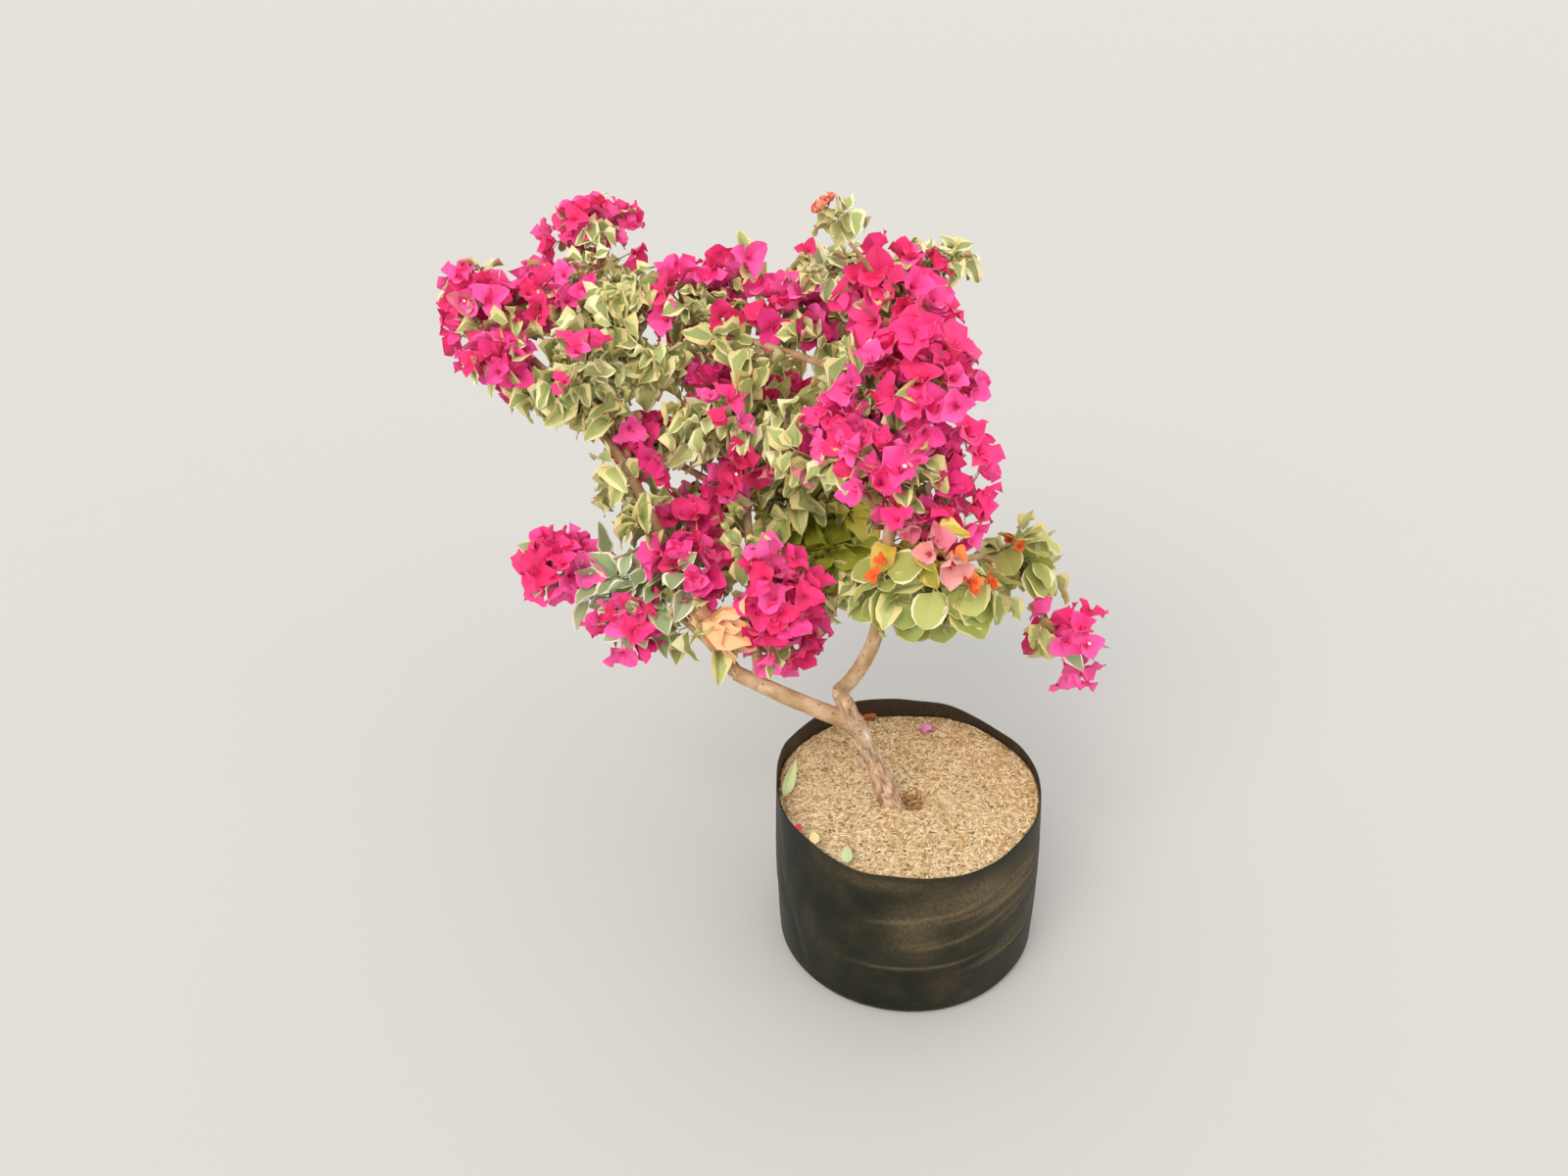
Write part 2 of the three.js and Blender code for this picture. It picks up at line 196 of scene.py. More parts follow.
# The depth of the lumps against that of the ridges: on young bark, and what age adds to it
YOUNG_LUMPS = 0.4
OLD_LUMPS = 1.5
AGE_SAMPLES = 6  # the places on the limbs' middle lines that a point's age is the mean of
# How old the bark is, from 0 to 1, and 0 on the limbs that aren't named
BARK_AGES = {"trunk": 1, "kink": 0.8, "right": 0.25, "left": 0.15}
# The bark's pattern on each limb begins this far, in metres, from where the last one's did
BARK_SHIFT = 0.7
# Marks on the bark: the attribute that shows each, the limb that it is on, where along that one
# and on which side of it, half its length, half its width, and how plain it is
MARKS = [
    ("bark_scar", "trunk", 0.86, (0.6, -0.72, 0.35), 7, 1.9, 0.85),
    # The seams are shallow grooves, and their dark colour is painted shade
    ("bark_seam", "trunk", 0.55, (0.8, -0.52, 0.3), 18, 2.2, 0.6),
    ("bark_seam", "right", 0.06, (-0.6, -0.75, 0.2), 6, 9, 0.4),
]
SEAM_DEPTH = 0.9

# How each mass grows: the outside of it in square millimetres that one twig's end fills, the
# flowers at a twig's end and the size of their bracts, the share of its twigs that end in leaves,
# the gap between leaves on a twig, how far they hang, their length in millimetres, and their kinds
FLOWERY = {
    "room": 3600,
    "cyme": 3,
    "bract": 1,
    "leafy": 0.2,
    "gap": 16,
    "hang": 0.5,
    "length": 44,
    "kinds": ["edged"],
}
LEAFY = {"room": 2300, "cyme": 0, "leafy": 1, "gap": 10, "hang": 0.9, "length": 45, "kinds": ["edged"]}
CREST = LEAFY | {"room": 1700, "gap": 9, "hang": 0.4, "length": 31, "kinds": ["small"]}
LOW = {"length": 45, "hang": 0.3, "kinds": ["fresh"]}
FLOWERY_LOW = FLOWERY | LOW
FLOWERY_FAR = FLOWERY | {"room": 3000, "bract": 0.87}
HABITS = {
    "flowers": FLOWERY,
    "leaves": LEAFY,
    "leaves_crest": CREST,
    "leaves_crest_right": CREST,
    "leaves_low_left": LEAFY | LOW,
    "flowers_low_left": FLOWERY_LOW,
    "flowers_low_tip": FLOWERY_LOW,
    "flowers_lower_middle": FLOWERY_LOW,
    "flowers_hanging": FLOWERY_LOW | {"kinds": ["fresh", "edged"]},
    "flowers_low": FLOWERY | {"room": 2600, "leafy": 0, "gap": 90},
    "flowers_top_left": FLOWERY | {"room": 3000, "bract": 0.85},
    "flowers_far_left_upper": FLOWERY_FAR,
    "flowers_far_left": FLOWERY_FAR,
    "flowers_far_left_low": FLOWERY_FAR,
    "flowers_column_lower": FLOWERY | {"room": 3000, "leafy": 0.1},
    "flowers_column_upper": FLOWERY | {"room": 3200, "leafy": 0.12},
    "leaves_centre_low": LEAFY | {"length": 47, "hang": 0.5, "kinds": ["plain", "plain", "edged"]},
    "leaves_centre_bottom": LEAFY | {"length": 47, "hang": 0.7, "kinds": ["plain"]},
    "leaves_right": LEAFY | {"length": 50, "hang": 1.3, "kinds": ["broad"]},
    "leaves_right_tip": LEAFY | {"room": 3200, "length": 46, "hang": 1.1, "kinds": ["broad"]},
    "leaves_column_foot": LEAFY | {"room": 2200, "length": 44, "kinds": ["yellow"]},
    "flowers_right_tip": FLOWERY | {"room": 7600, "gap": 26, "kinds": ["fresh"]},
    "flowers_middle_crest": FLOWERY | {"room": 5200, "gap": 26},
    "leaves_whip": LEAFY | {"room": 6000, "gap": 40, "length": 35, "hang": 0.4, "kinds": ["edged"]},
}
SHADED_SHARE = -0.35  # where a direction from a mass's middle points lower than this, it is in shade
SHADED_LOSS = 0.6  # the share of the twigs' ends that the shade sends to the other side
SPOT_TRIES = 10  # the places that are tried for each twig's end
SPOT_DEPTHS = (0.45, 1.0)  # the range of how far out those lie, as a share of the way to the outside
LEAST_SPOTS = 3
LEAST_HALF = 0.4  # the twigs' ends fill this share of a mass's half sizes at least
LUMP = 0.42  # how far the outside of a mass swells and sinks
LUMP_GRAIN = 1.6  # and how fast that changes from one direction to another
FLOWERY_INSET = 22  # how far the twigs' ends stay inside a mass of bracts, in millimetres
LEAFY_INSET = 20  # and inside a mass of leaves
SAG_SHARE = 0.25  # the twigs' ends are raised by this share of how far the leaves hang below them
NEAR_WOOD = 1.2  # the wood that twigs may leave is within this many half sizes of a mass's middle
DETOUR_COST = 0.3  # what way back to the bough costs a twig against its own length
EDGED_AMONG_PLAIN = 0.2  # the share of the plain leaves' twigs that have cream-edged ones
SECOND_CYME = 0.55  # the share of the flowering twigs that have a side shoot with flowers
SECOND_CYME_RUN = 30  # and the length in millimetres that such a twig has at least
TINT_SHARES = {"pink": 88, "deep": 11, "faded": 0.4}
CYME_WIDTH = 13  # how far a full-sized flower stands off its cyme's middle, in millimetres
# A twig's steps and sides, its radius at its tip, the least and greatest radius at its foot and
# what each millimetre of its length adds to that, and how far it bends upwards in the masses and
# aside, as a share of its length
TWIG_STEPS = 6
TWIG_SIDES = 5
TWIG_TIP = 0.7
TWIG_LEAST = 0.9
TWIG_MOST = 2.3
TWIG_GAIN = 0.012
TWIG_LIFTS = (0.02, 0.2)
TWIG_SWAY = 0.08
WOOD_START = 0.25  # the masses' twigs leave each limb past this share of it
STALK_SIDES = 3
STALK_RADIUS = 0.6
STALKS = (2, 13)  # the range of how far a flower stands beyond its cyme's foot, in millimetres
LEAFY_RUN = 62  # how much of a twig carries leaves, in millimetres from its end
BARE_SHARE = 0.15  # the share of a twig at its foot that never carries them
LAST_LEAF = 0.94  # and the share of it where the last one before its tip can be
GAP_PLAY = (0.7, 1.3)  # the range of the gaps between leaves against the usual gap
TUFTS = (3, 4)  # how many leaves the tip of a leafy twig has
LEAF_TURN = 137.5  # degrees round a twig from one leaf to the next
TURN_PLAY = 14  # and how far that strays
# The ranges of the leaves' hang and size and of the bracts' size, against the usual ones
LEAF_HANGS = (0.3, 1.5)
LEAF_SIZES = (0.5, 1.24)
BRACT_SIZES = (0.82, 1.1)
STARRED = 7  # how many of a hundred flowers have a tube that has opened into a star
ELLIPSOID_POWER = 1.6  # the power in the usual short formula for an ellipsoid's outside
LEFT_PART_EDGE = -0.215  # the crown's left part, a piece of its own, ends here in metres along X

# Sprigs of leaves along the boughs: where on the bough they begin, and the gap between them
SPRIGS = {
    "left_rising": (0.3, 15),
    "far_left": (0.15, 26),
    "top_left": (0.12, 26),
    "low_left": (0.3, 28),
    "middle": (0.5, 36),
    "middle_rising": (0.1, 24),
    "back_left": (0.2, 30),
    "right": (0.84, 14),
    "crest": (0.2, 40),
    "level_left": (0.12, 24),
    "centre": (0.02, 12),
    "back": (0.2, 30),
    "right_arm": (0.3, 28),
    "right_tip": (0.2, 34),
}
SPRIG = LEAFY | {"hang": 0.6, "length": 44}
# The ranges of a sprig's length in millimetres, its bend, and the gap to the next against the usual
SPRIG_REACHES = (14, 52)
SPRIG_LIFTS = (0, 0.12)
SPRIG_PLAY = (0.6, 1.4)

# Flowers apart from the masses' own: the mass that each group stands on, where on it as shares
# of its half sizes, their colour, how many there are, and their size against the others
MORE_FLOWERS = [
    ("leaves_left_low", (0.1, -0.3, 0.95), "pink", 3, 0.9),
    ("leaves_left_low", (0.75, -0.4, -0.8), "pink", 2, 0.9),
    ("leaves_centre", (-0.9, -0.45, -0.5), "deep", 3, 0.9),
    ("leaves_centre", (-0.15, -0.5, 0.85), "pink", 2, 0.9),
    ("leaves_centre", (-0.05, -0.95, 0.4), "pink", 2, 0.9),
    ("leaves_centre", (0.1, -0.88, -0.46), "deep", 3, 0.9),
    ("flowers_middle_under", (-0.4, -0.8, 0.0), "deep", 2, 0.9),
    ("flowers_middle_left", (0.59, -0.8, -0.34), "pink", 3, 1.0),
    ("flowers_middle_crest", (0.3, -0.6, 0.7), "pink", 1, 1.1),
    ("leaves_crest", (-0.48, -0.36, 0.9), "deep", 1, 0.6),
    ("flowers_column_left", (-0.5, -0.3, 0.9), "pink", 3, 1.0),
    ("flowers_column_left", (-0.2, -0.74, 0.65), "pink", 3, 1.0),
    ("flowers_column_left", (0.1, -0.99, 0.06), "pink", 3, 1.0),
    ("flowers_column_left", (-0.46, -0.84, 0.29), "pink", 2, 1.0),
    ("flowers_column_top", (-0.37, -0.49, 0.79), "pink", 3, 1.0),
    ("flowers_column_top", (0.17, -0.78, 0.6), "pink", 3, 1.0),
    ("flowers_column_top", (0.74, -0.67, 0.02), "pink", 3, 1.0),
    ("flowers_column_top", (-0.12, -0.99, -0.09), "pink", 2, 1.0),
    ("flowers_column_upper", (-0.11, -0.07, 0.99), "pink", 3, 1.0),
    ("flowers_column_upper", (0.26, -0.51, 0.82), "pink", 2, 1.0),
    ("flowers_column_upper", (-0.86, -0.34, 0.38), "pink", 2, 1.0),
    ("flowers_column_top", (0.0, 0.1, 1.15), "pink", 2, 0.9),
    ("flowers_column_top", (0.6, 0.1, 0.9), "pink", 2, 0.9),
    ("flowers_column_upper", (-1.1, -0.2, -0.2), "pink", 3, 1.0),
    ("flowers_column_upper", (-0.95, -0.3, -0.7), "pink", 3, 1.0),
    ("flowers_column_upper", (-0.07, -0.95, -0.4), "pink", 3, 1.0),
    ("flowers_column_upper", (0.5, -0.8, -0.4), "pink", 2, 1.0),
    ("flowers_column_lower", (-1.04, 0.1, 0.49), "pink", 3, 0.95),
    ("flowers_column_lower", (-0.9, -0.5, 0.1), "pink", 2, 0.95),
    ("leaves_column_foot", (-0.47, 0.2, 1.8), "pink", 3, 0.9),
    ("flowers_column_lower", (0.85, -0.2, 0.7), "pink", 3, 1.0),
    ("flowers_column_lower", (0.93, -0.4, 0.1), "pink", 2, 1.0),
    ("flowers_column_lower", (0.85, -0.4, -0.5), "pink", 3, 1.0),
    ("flowers_column_lower", (0.3, -0.7, -0.8), "pink", 3, 1.0),
    ("leaves_right_tip", (0.44, -0.65, -0.94), "pink", 1, 0.85),
    ("flowers_top_left", (0.86, -0.3, -0.8), "pink", 2, 0.8),
    ("flowers_top_left", (-0.3, -0.7, 0.5), "pink", 3, 0.84),
    ("flowers_top_left", (-0.8, -0.4, -0.3), "pink", 3, 0.84),
    ("flowers_right_tip", (0.2, -0.4, 0.7), "pink", 3, 1.0),
    ("flowers_column_left", (-1.0, -0.5, -0.4), "faded", 1, 0.95),
    ("leaves_centre", (0.86, -1.1, -0.2), "faded", 1, 1.0),
    ("leaves_centre", (0.36, -1.05, -0.45), "faded", 1, 0.85),
    ("flowers_column_lower", (1.1, -0.3, 0.3), "faded", 1, 0.85),
    ("flowers_column_lower", (-0.2, -1.1, -0.25), "faded", 1, 0.8),
    ("leaves_column_foot", (0.05, -0.4, 1.0), "faded", 2, 0.85),
    ("leaves_column_foot", (0.4, -0.7, 0.7), "faded", 2, 0.95),
    ("leaves_right_tip", (-0.06, -0.6, 0.9), "orange", 2, 0.45),
    ("leaves_column_foot", (0.7, -0.75, 0.4), "orange", 1, 0.45),
    ("leaves_right", (0.55, -0.68, 0.65), "orange", 3, 0.5),
    ("leaves_right", (0.81, -0.4, 0.5), "orange", 2, 0.45),
    ("leaves_right", (-0.63, -0.4, 0.75), "orange", 1, 0.42),
    ("leaves_column_foot", (-0.8, -0.65, 0.35), "orange", 1, 0.42),
    ("leaves_low_left", (1.0, -1.5, 0.42), "peach", 1, 2.0),
    ("leaves_low_left", (1.15, -1.5, 0.25), "peach", 1, 1.9),
    ("leaves_low_left", (1.15, -1.6, 0.35), "apricot", 1, 2.1),
    ("leaves_low_left", (1.1, -1.65, 0.15), "apricot", 1, 2.0),
    ("leaves_whip", (-0.5, -0.5, 0.8), "salmon", 4, 0.45),
    ("leaves_left_low", (0.0, -1.0, 0.5), "pink", 1, 0.7),
    ("flowers_middle_left", (0.2, -1.0, -0.5), "salmon", 1, 0.6),
]

# The way that the groups of two colours hang
DROOP = {"peach": (0.93, -0.15, -0.36), "apricot": (0.85, -0.1, -0.5)}


def linear(hex_colour):
    """An sRGB hex colour as the linear colour that a shader takes."""
    shares = [int(hex_colour[place : place + 2], 16) / 255 for place in (1, 3, 5)]
    return tuple(s / 12.92 if s <= 0.04045 else ((s + 0.055) / 1.055) ** 2.4 for s in shares)


# The plain colours that the sprays are dealt
BRACTS = {
    "pink": ["#ff4aa0", "#fb3e8d", "#ff62b0", "#f7387f", "#fa56a8"],
    "deep": ["#e42d7f", "#dc2767"],
    "faded": ["#e98a98", "#f0a9a4", "#de7488"],
    "peach": ["#f8cfa6", "#f5c596"],
    "apricot": ["#f7c997", "#f5c08c"],
    "orange": ["#f4661f", "#f68a40"],
    "salmon": ["#f0766a", "#ee9a7c"],
}
TUBES = ["#d8276b", "#d98f5a"]
PALE_TUBED = ("peach", "apricot", "orange", "salmon")
STAR = "#fbf6ee"
GREENS = {
    "edged": ["#a9b26e", "#98a161", "#b9be7a"],
    "fresh": ["#9aad7c", "#a9b88a"],
    "small": ["#a6b07c", "#96a36c"],
    "broad": ["#acb25e", "#9fa856", "#b8bb6a"],
    "plain": ["#b2b63e", "#9ea534", "#cec54a"],
    "yellow": ["#cdbb45", "#b9b24a"],
}
PALES = {
    "edged": ["#eee6b4", "#e9dd9e", "#dfd08e"],
    "fresh": ["#f8f2da", "#f2e9c2"],
    "small": ["#f3e9b8", "#ebdb9a"],
    "broad": ["#eee4b6", "#e0d08c"],
    "plain": ["#aab03c", "#b8b444"],
    "yellow": ["#ead36c", "#d9b04e"],
}
TWIG_BARKS = ["#a08f5a", "#93805a"]
HULL_TONES = ["#dcc095", "#efdcb6", "#c7a473", "#c5935a", "#87623a"]

# The sockets of a mix node that is set to colours
MIX_SHARE, MIX_UNDER, MIX_OVER, MIX_RESULT = 0, 6, 7, 2


def unit(vector):
    """A vector's direction."""
    return np.asarray(vector, float) / max(1e-12, float(np.linalg.norm(vector)))


def way(heading, slope):
    """The direction of a heading from +X towards +Y and a slope, in degrees."""
    heading, slope = math.radians(heading), math.radians(slope)
    level = math.cos(slope)
    return np.array([level * math.cos(heading), level * math.sin(heading), math.sin(slope)])


def read(items, field, width, kind=float):
    """A field of all of a mesh's items, as an array."""
    values = np.empty(len(items) * width, kind)
    items.foreach_get(field, values)
    return values.reshape(-1, width) if width > 1 else values


class Mould:
    """The corners and faces of a small shape that is copied. A face's zone says which of a
    copy's finishes it takes."""

    def __init__(self, corners, loops, counts, zones):
        self.corners, self.loops, self.counts, self.zones = corners, loops, counts, zones

    @classmethod
    def of(cls, shape):
        mesh = bpy.data.meshes.new("mould")
        shape.to_mesh(mesh)
        shape.free()
        mould = cls(
            read(mesh.vertices, "co", 3),
            read(mesh.loops, "vertex_index", 1, np.int32),
            read(mesh.polygons, "loop_total", 1, np.int32),
            read(mesh.polygons, "material_index", 1, np.int32),
        )
        bpy.data.meshes.remove(mesh)
        return mould


class Heap:
    """Copies of moulds on their way to one joined mesh."""

    def __init__(self):
        self.corners, self.loops, self.counts, self.zones = [], [], [], []
        self.size = 0

    def add(self, mould, corners, finishes=(0,)):
        self.corners.append(corners)
        self.loops.append(mould.loops + self.size)
        self.counts.append(mould.counts)
        self.zones.append(np.take(np.array(finishes, np.int32), mould.zones))
        self.size += len(corners)

    def mould(self):
        return Mould(*(np.concatenate(part) for part in (self.corners, self.loops, self.counts, self.zones)))

    def mesh(self, name):
        whole = self.mould()
        mesh = bpy.data.meshes.new(name)
        mesh.vertices.add(len(whole.corners))
        mesh.vertices.foreach_set("co", whole.corners.astype(np.float32).ravel())
        mesh.loops.add(len(whole.loops))
        mesh.loops.foreach_set("vertex_index", whole.loops)
        mesh.polygons.add(len(whole.counts))
        mesh.polygons.foreach_set("loop_start", np.cumsum(whole.counts) - whole.counts)
        mesh.polygons.foreach_set("material_index", whole.zones)
        mesh.polygons.foreach_set("use_smooth", np.ones(len(whole.counts), bool))
        mesh.update(calc_edges=True)
        mesh.validate()
        return mesh


def stood(mould, place, along, facing, size):
    """A mould's corners with its Y along one direction and its Z as near another as it can be."""
    along = unit(along)
    side = unit(np.cross(along, facing))
    return place + size * (mould.corners @ np.array([side, along, np.cross(side, along)]))


def straight_tube(sides, rings):
    """A mould of a closed tube of radius 1, from 0 to 1 up Z, with rings along it."""
    shape = bmesh.new()
    bmesh.ops.create_cone(
        shape, cap_ends=True, cap_tris=True, segments=sides, radius1=1, radius2=1, depth=1
    )
    bmesh.ops.translate(shape, vec=(0, 0, 0.5), verts=shape.verts)
    upright = [edge for edge in shape.edges if abs(edge.verts[0].co.z - edge.verts[1].co.z) > 0.5]
    bmesh.ops.subdivide_edges(shape, edges=upright, cuts=rings - 1)
    return Mould.of(shape)


def frames_along(line):
    """The direction, side and upper side of a line at each of its points."""
    along = np.gradient(line, axis=0)
    along /= np.linalg.norm(along, axis=1)[:, None]
    helper = np.eye(3)[np.abs(along.mean(0)).argmin()]
    side = np.cross(along, helper)
    side /= np.linalg.norm(side, axis=1)[:, None]
    return along, side, np.cross(side, along)


def bent(tube, line, radii):
    """A straight tube's corners, laid along a line."""
    _, side, over = frames_along(line)
    ring = np.rint(tube.corners[:, 2] * (len(line) - 1)).astype(int)
    across = tube.corners[:, :1] * side[ring] + tube.corners[:, 1:2] * over[ring]
    return line[ring] + across * np.asarray(radii)[ring, None]


def arch(start, middle, end, steps):
    """A line from start to end that bends towards middle, in even steps."""
    share = np.linspace(0, 1, 8 * steps + 1)[:, None]
    line = (1 - share) ** 2 * start + 2 * share * (1 - share) * middle + share**2 * end
    run = np.concatenate([[0], np.cumsum(np.linalg.norm(np.diff(line, axis=0), axis=1))])
    even = np.linspace(0, run[-1], steps + 1)
    return np.stack([np.interp(even, run, line[:, axis]) for axis in range(3)], axis=1)


class Limb:
    """A limb's middle line in even steps, with its radius at each."""

    def __init__(self, start, length, heading, slope, bow, thick, thin, is_trunk):
        end = start + length * MM * way(heading, slope)
        middle = (start + end) / 2 + 2 * bow * MM * way(heading, slope + 90)
        self.line = arch(start, middle, end, max(LEAST_LIMB_STEPS, round(length / LIMB_STEP)))
        share = np.linspace(0, 1, len(self.line))
        self.radii = MM * (thick + (thin - thick) * share)
        if is_trunk:
            self.radii += MM * (FLARE * np.exp(-FLARE_FADE * share) - WAIST * np.sin(math.pi * share))

    def at(self, share):
        place = share * (len(self.line) - 1)
        low = min(int(place), len(self.line) - 2)
        return self.line[low] + (place - low) * (self.line[low + 1] - self.line[low])


@functools.cache
def all_limbs():
    """Every limb by name, the trunk first."""
    found = {}
    for name, (parent, share, *shape) in LIMBS.items():
        start = found[parent].at(share) if parent else np.array(TRUNK_FOOT) * MM
        found[name] = Limb(start, *shape, parent is None)
    return found


def as_value(value):
    """A socket's value, where a hex colour becomes a linear one."""
    return (*linear(value), 1) if isinstance(value, str) else value


def add(tree, kind, values=None, links=None, stops=(), **settings):
    """Adds a node: its settings, plain values on its sockets, links to its sockets, and a
    ramp's stops, each of them a place from 0 to 1 and a hex colour."""
    node = tree.nodes.new(kind)
    for name, value in settings.items():
        setattr(node, name, value)
    for socket, value in (values or {}).items():
        node.inputs[socket].default_value = as_value(value)
    for socket, source in (links or {}).items():
        tree.links.new(source, node.inputs[socket])
    while stops and len(node.color_ramp.elements) < len(stops):
        node.color_ramp.elements.new(1)
    for n, (place, colour) in enumerate(stops):
        node.color_ramp.elements[n].position = place
        node.color_ramp.elements[n].color = as_value(colour)
    return node


def repeats(count, length):
    """How often a pattern comes in a metre, from its count in a length in millimetres."""
    return count / (length * MM)


def new_material(name):
    """A bare material and its node tree."""
    material = bpy.data.materials.new(name)
    material.use_nodes = True
    material.node_tree.nodes.clear()
    return material, material.node_tree


def surface(tree, values, links=None):
    """The shader on a material's surface."""
    shader = add(tree, "ShaderNodeBsdfPrincipled", values, links)
    add(tree, "ShaderNodeOutputMaterial", links={"Surface": shader.outputs[0]})


def plain_tissue(name, colour, roughness, sheen=0.0):
    """Living or dried plant tissue, one even colour to a copy, its tones dealt by spray."""
    material, tree = new_material(name)
    surface(tree, {"Base Color": colour, "Roughness": roughness, "IOR": 1.42, "Sheen Weight": sheen})
    return material


def tissues(stem, colours, roughness, sheen=0.0):
    """One plain tissue for each colour."""
    return [plain_tissue(f"{stem}_{n + 1}", colour, roughness, sheen) for n, colour in enumerate(colours)]


def dusty_film():
    """Black polyethylene film, blown and heat sealed: a dull gloss, with dried soil rubbed into
    its creases and its patches, a green cast in its folds and a brown one inside."""
    material, tree = new_material("polyethylene_film_blown_dusty")
    place = add(tree, "ShaderNodeTexCoord").outputs["Object"]
    rubbed = add(tree, "ShaderNodeAttribute", attribute_name="film_dust").outputs["Fac"]
    inside = add(tree, "ShaderNodeAttribute", attribute_name="film_inside").outputs["Fac"]
    clouds = add(
        tree, "ShaderNodeTexNoise", {"Scale": repeats(2, 125), "Detail": 5.0, "Roughness": 0.6},
        {"Vector": place},
    ).outputs["Fac"]
    # The dust's grit is drawn coarser than it is, at about 4 mm, so that it shows
    grit = add(
        tree, "ShaderNodeTexNoise", {"Scale": repeats(23, 100), "Detail": 3.0}, {"Vector": place}
    ).outputs["Fac"]
    thin = add(
        tree, "ShaderNodeMapRange", {"From Min": 0.5, "From Max": 0.8, "To Max": 0.35}, {"Value": clouds}
    )
    both = add(tree, "ShaderNodeMath", links={0: thin.outputs[0], 1: rubbed}, operation="ADD")
    speckled = add(tree, "ShaderNodeMath", links={0: both.outputs[0], 1: grit}, operation="MULTIPLY")
    dust = add(
        tree, "ShaderNodeMath", {1: 1.6}, {0: speckled.outputs[0]}, operation="MULTIPLY", use_clamp=True
    ).outputs[0]
    cast = add(
        tree, "ShaderNodeValToRGB", links={"Fac": clouds},
        stops=[(0.35, "#191913"), (0.5, "#212318"), (0.62, "#231f16")],
    )
    film = add(
        tree, "ShaderNodeMix", {MIX_OVER: "#2a211a"}, {MIX_SHARE: inside, MIX_UNDER: cast.outputs[0]},
        data_type="RGBA",
    )
    colour = add(
        tree, "ShaderNodeMix", {MIX_OVER: "#6a5c44"}, {MIX_SHARE: dust, MIX_UNDER: film.outputs[MIX_RESULT]},
        data_type="RGBA",
    )
    rough = add(tree, "ShaderNodeMapRange", {"To Min": 0.46, "To Max": 0.85}, {"Value": dust})
    relief = add(tree, "ShaderNodeBump", {"Strength": 0.4, "Distance": 2 * MM}, {"Height": clouds})
    surface(
        tree, {"IOR": 1.51, "Specular IOR Level": 0.14},
        {
            "Base Color": colour.outputs[MIX_RESULT], "Roughness": rough.outputs[0],
            "Normal": relief.outputs[0],
        },
    )
    return material


def weathered_bark():
    """Bougainvillea bark, thin cork that weathers to pinkish tan: dull, ridged and cracked on the
    trunk, smooth on the boughs with small dark pores, white at a scar, and painted shade in a seam."""
    material, tree = new_material("bougainvillea_bark_weathered")
    place = add(tree, "ShaderNodeAttribute", attribute_name="bark_place").outputs["Vector"]
    age, scar, seam_shade = (
        add(tree, "ShaderNodeAttribute", attribute_name=name).outputs["Fac"]
        for name in ("bark_age", "bark_scar", "bark_seam")
    )
    drawn = add(tree, "ShaderNodeMapping", {"Scale": (1.0, 1.0, 0.4)}, {"Vector": place})
    ridges = add(
        tree, "ShaderNodeTexNoise",
        {"Scale": repeats(3, 25), "Detail": 4.0, "Roughness": 0.6, "Distortion": 0.9},
        {"Vector": drawn.outputs[0]},
    ).outputs["Fac"]
    blotches = add(
        tree, "ShaderNodeTexNoise", {"Scale": repeats(6, 125), "Detail": 4.0}, {"Vector": place}
    ).outputs["Fac"]
    pores = add(
        tree, "ShaderNodeTexVoronoi", {"Scale": repeats(27, 200), "Randomness": 1.0}, {"Vector": place}
    )
    old = add(
        tree, "ShaderNodeValToRGB", links={"Fac": ridges},
        stops=[(0.32, "#59412f"), (0.42, "#9d7b5d"), (0.54, "#cba888"), (0.7, "#e6ccb0")],
    )
    young = add(
        tree, "ShaderNodeValToRGB", links={"Fac": blotches},
        stops=[(0.3, "#98764f"), (0.5, "#b6926b"), (0.7, "#cfb18c")],
    )
    grey = add(
        tree, "ShaderNodeMapRange", {"From Min": 0.54, "From Max": 0.66, "To Max": 0.5}, {"Value": blotches}
    )
    greyed = add(
        tree, "ShaderNodeMix", {MIX_OVER: "#9c8d7c"},
        {MIX_SHARE: grey.outputs[0], MIX_UNDER: old.outputs[0]}, data_type="RGBA",
    )
    colour = add(
        tree, "ShaderNodeMix", None,
        {MIX_SHARE: age, MIX_UNDER: young.outputs[0], MIX_OVER: greyed.outputs[MIX_RESULT]},
        data_type="RGBA",
    )
    pore = add(
        tree, "ShaderNodeMapRange", {"From Min": 0.2, "From Max": 0.12, "To Max": 0.75},
        {"Value": pores.outputs["Distance"]},
    )
    # The seam's dark tone is painted shade in its groove
    for share, tone in ((pore.outputs[0], "#694a30"), (seam_shade, "#5c4c3e"), (scar, "#e6dcd8")):
        colour = add(
            tree, "ShaderNodeMix", {MIX_OVER: tone},
            {MIX_SHARE: share, MIX_UNDER: colour.outputs[MIX_RESULT]}, data_type="RGBA",
        )
    relief = add(tree, "ShaderNodeBump", {"Strength": 0.6, "Distance": 0.8 * MM}, {"Height": ridges})
    surface(
        tree, {"Roughness": 0.85, "IOR": 1.45},
        {"Base Color": colour.outputs[MIX_RESULT], "Normal": relief.outputs[0]},
    )
    return material


def crumbly(name, stops, grain, roughness, height):
    """Loose earthy matter, poured and settled: dull, and uneven by the size of its crumbs,
    which are given in millimetres."""
    material, tree = new_material(name)
    place = add(tree, "ShaderNodeTexCoord").outputs["Object"]
    crumbs = add(
        tree, "ShaderNodeTexNoise", {"Scale": repeats(1, grain), "Detail": 6.0, "Roughness": 0.65},
        {"Vector": place},
    ).outputs["Fac"]
    relief = add(tree, "ShaderNodeBump", {"Strength": 1.0, "Distance": height * MM}, {"Height": crumbs})
    colour = add(tree, "ShaderNodeValToRGB", links={"Fac": crumbs}, stops=stops)
    surface(
        tree, {"Roughness": roughness, "IOR": 1.45},
        {"Base Color": colour.outputs[0], "Normal": relief.outputs[0]},
    )
    return material


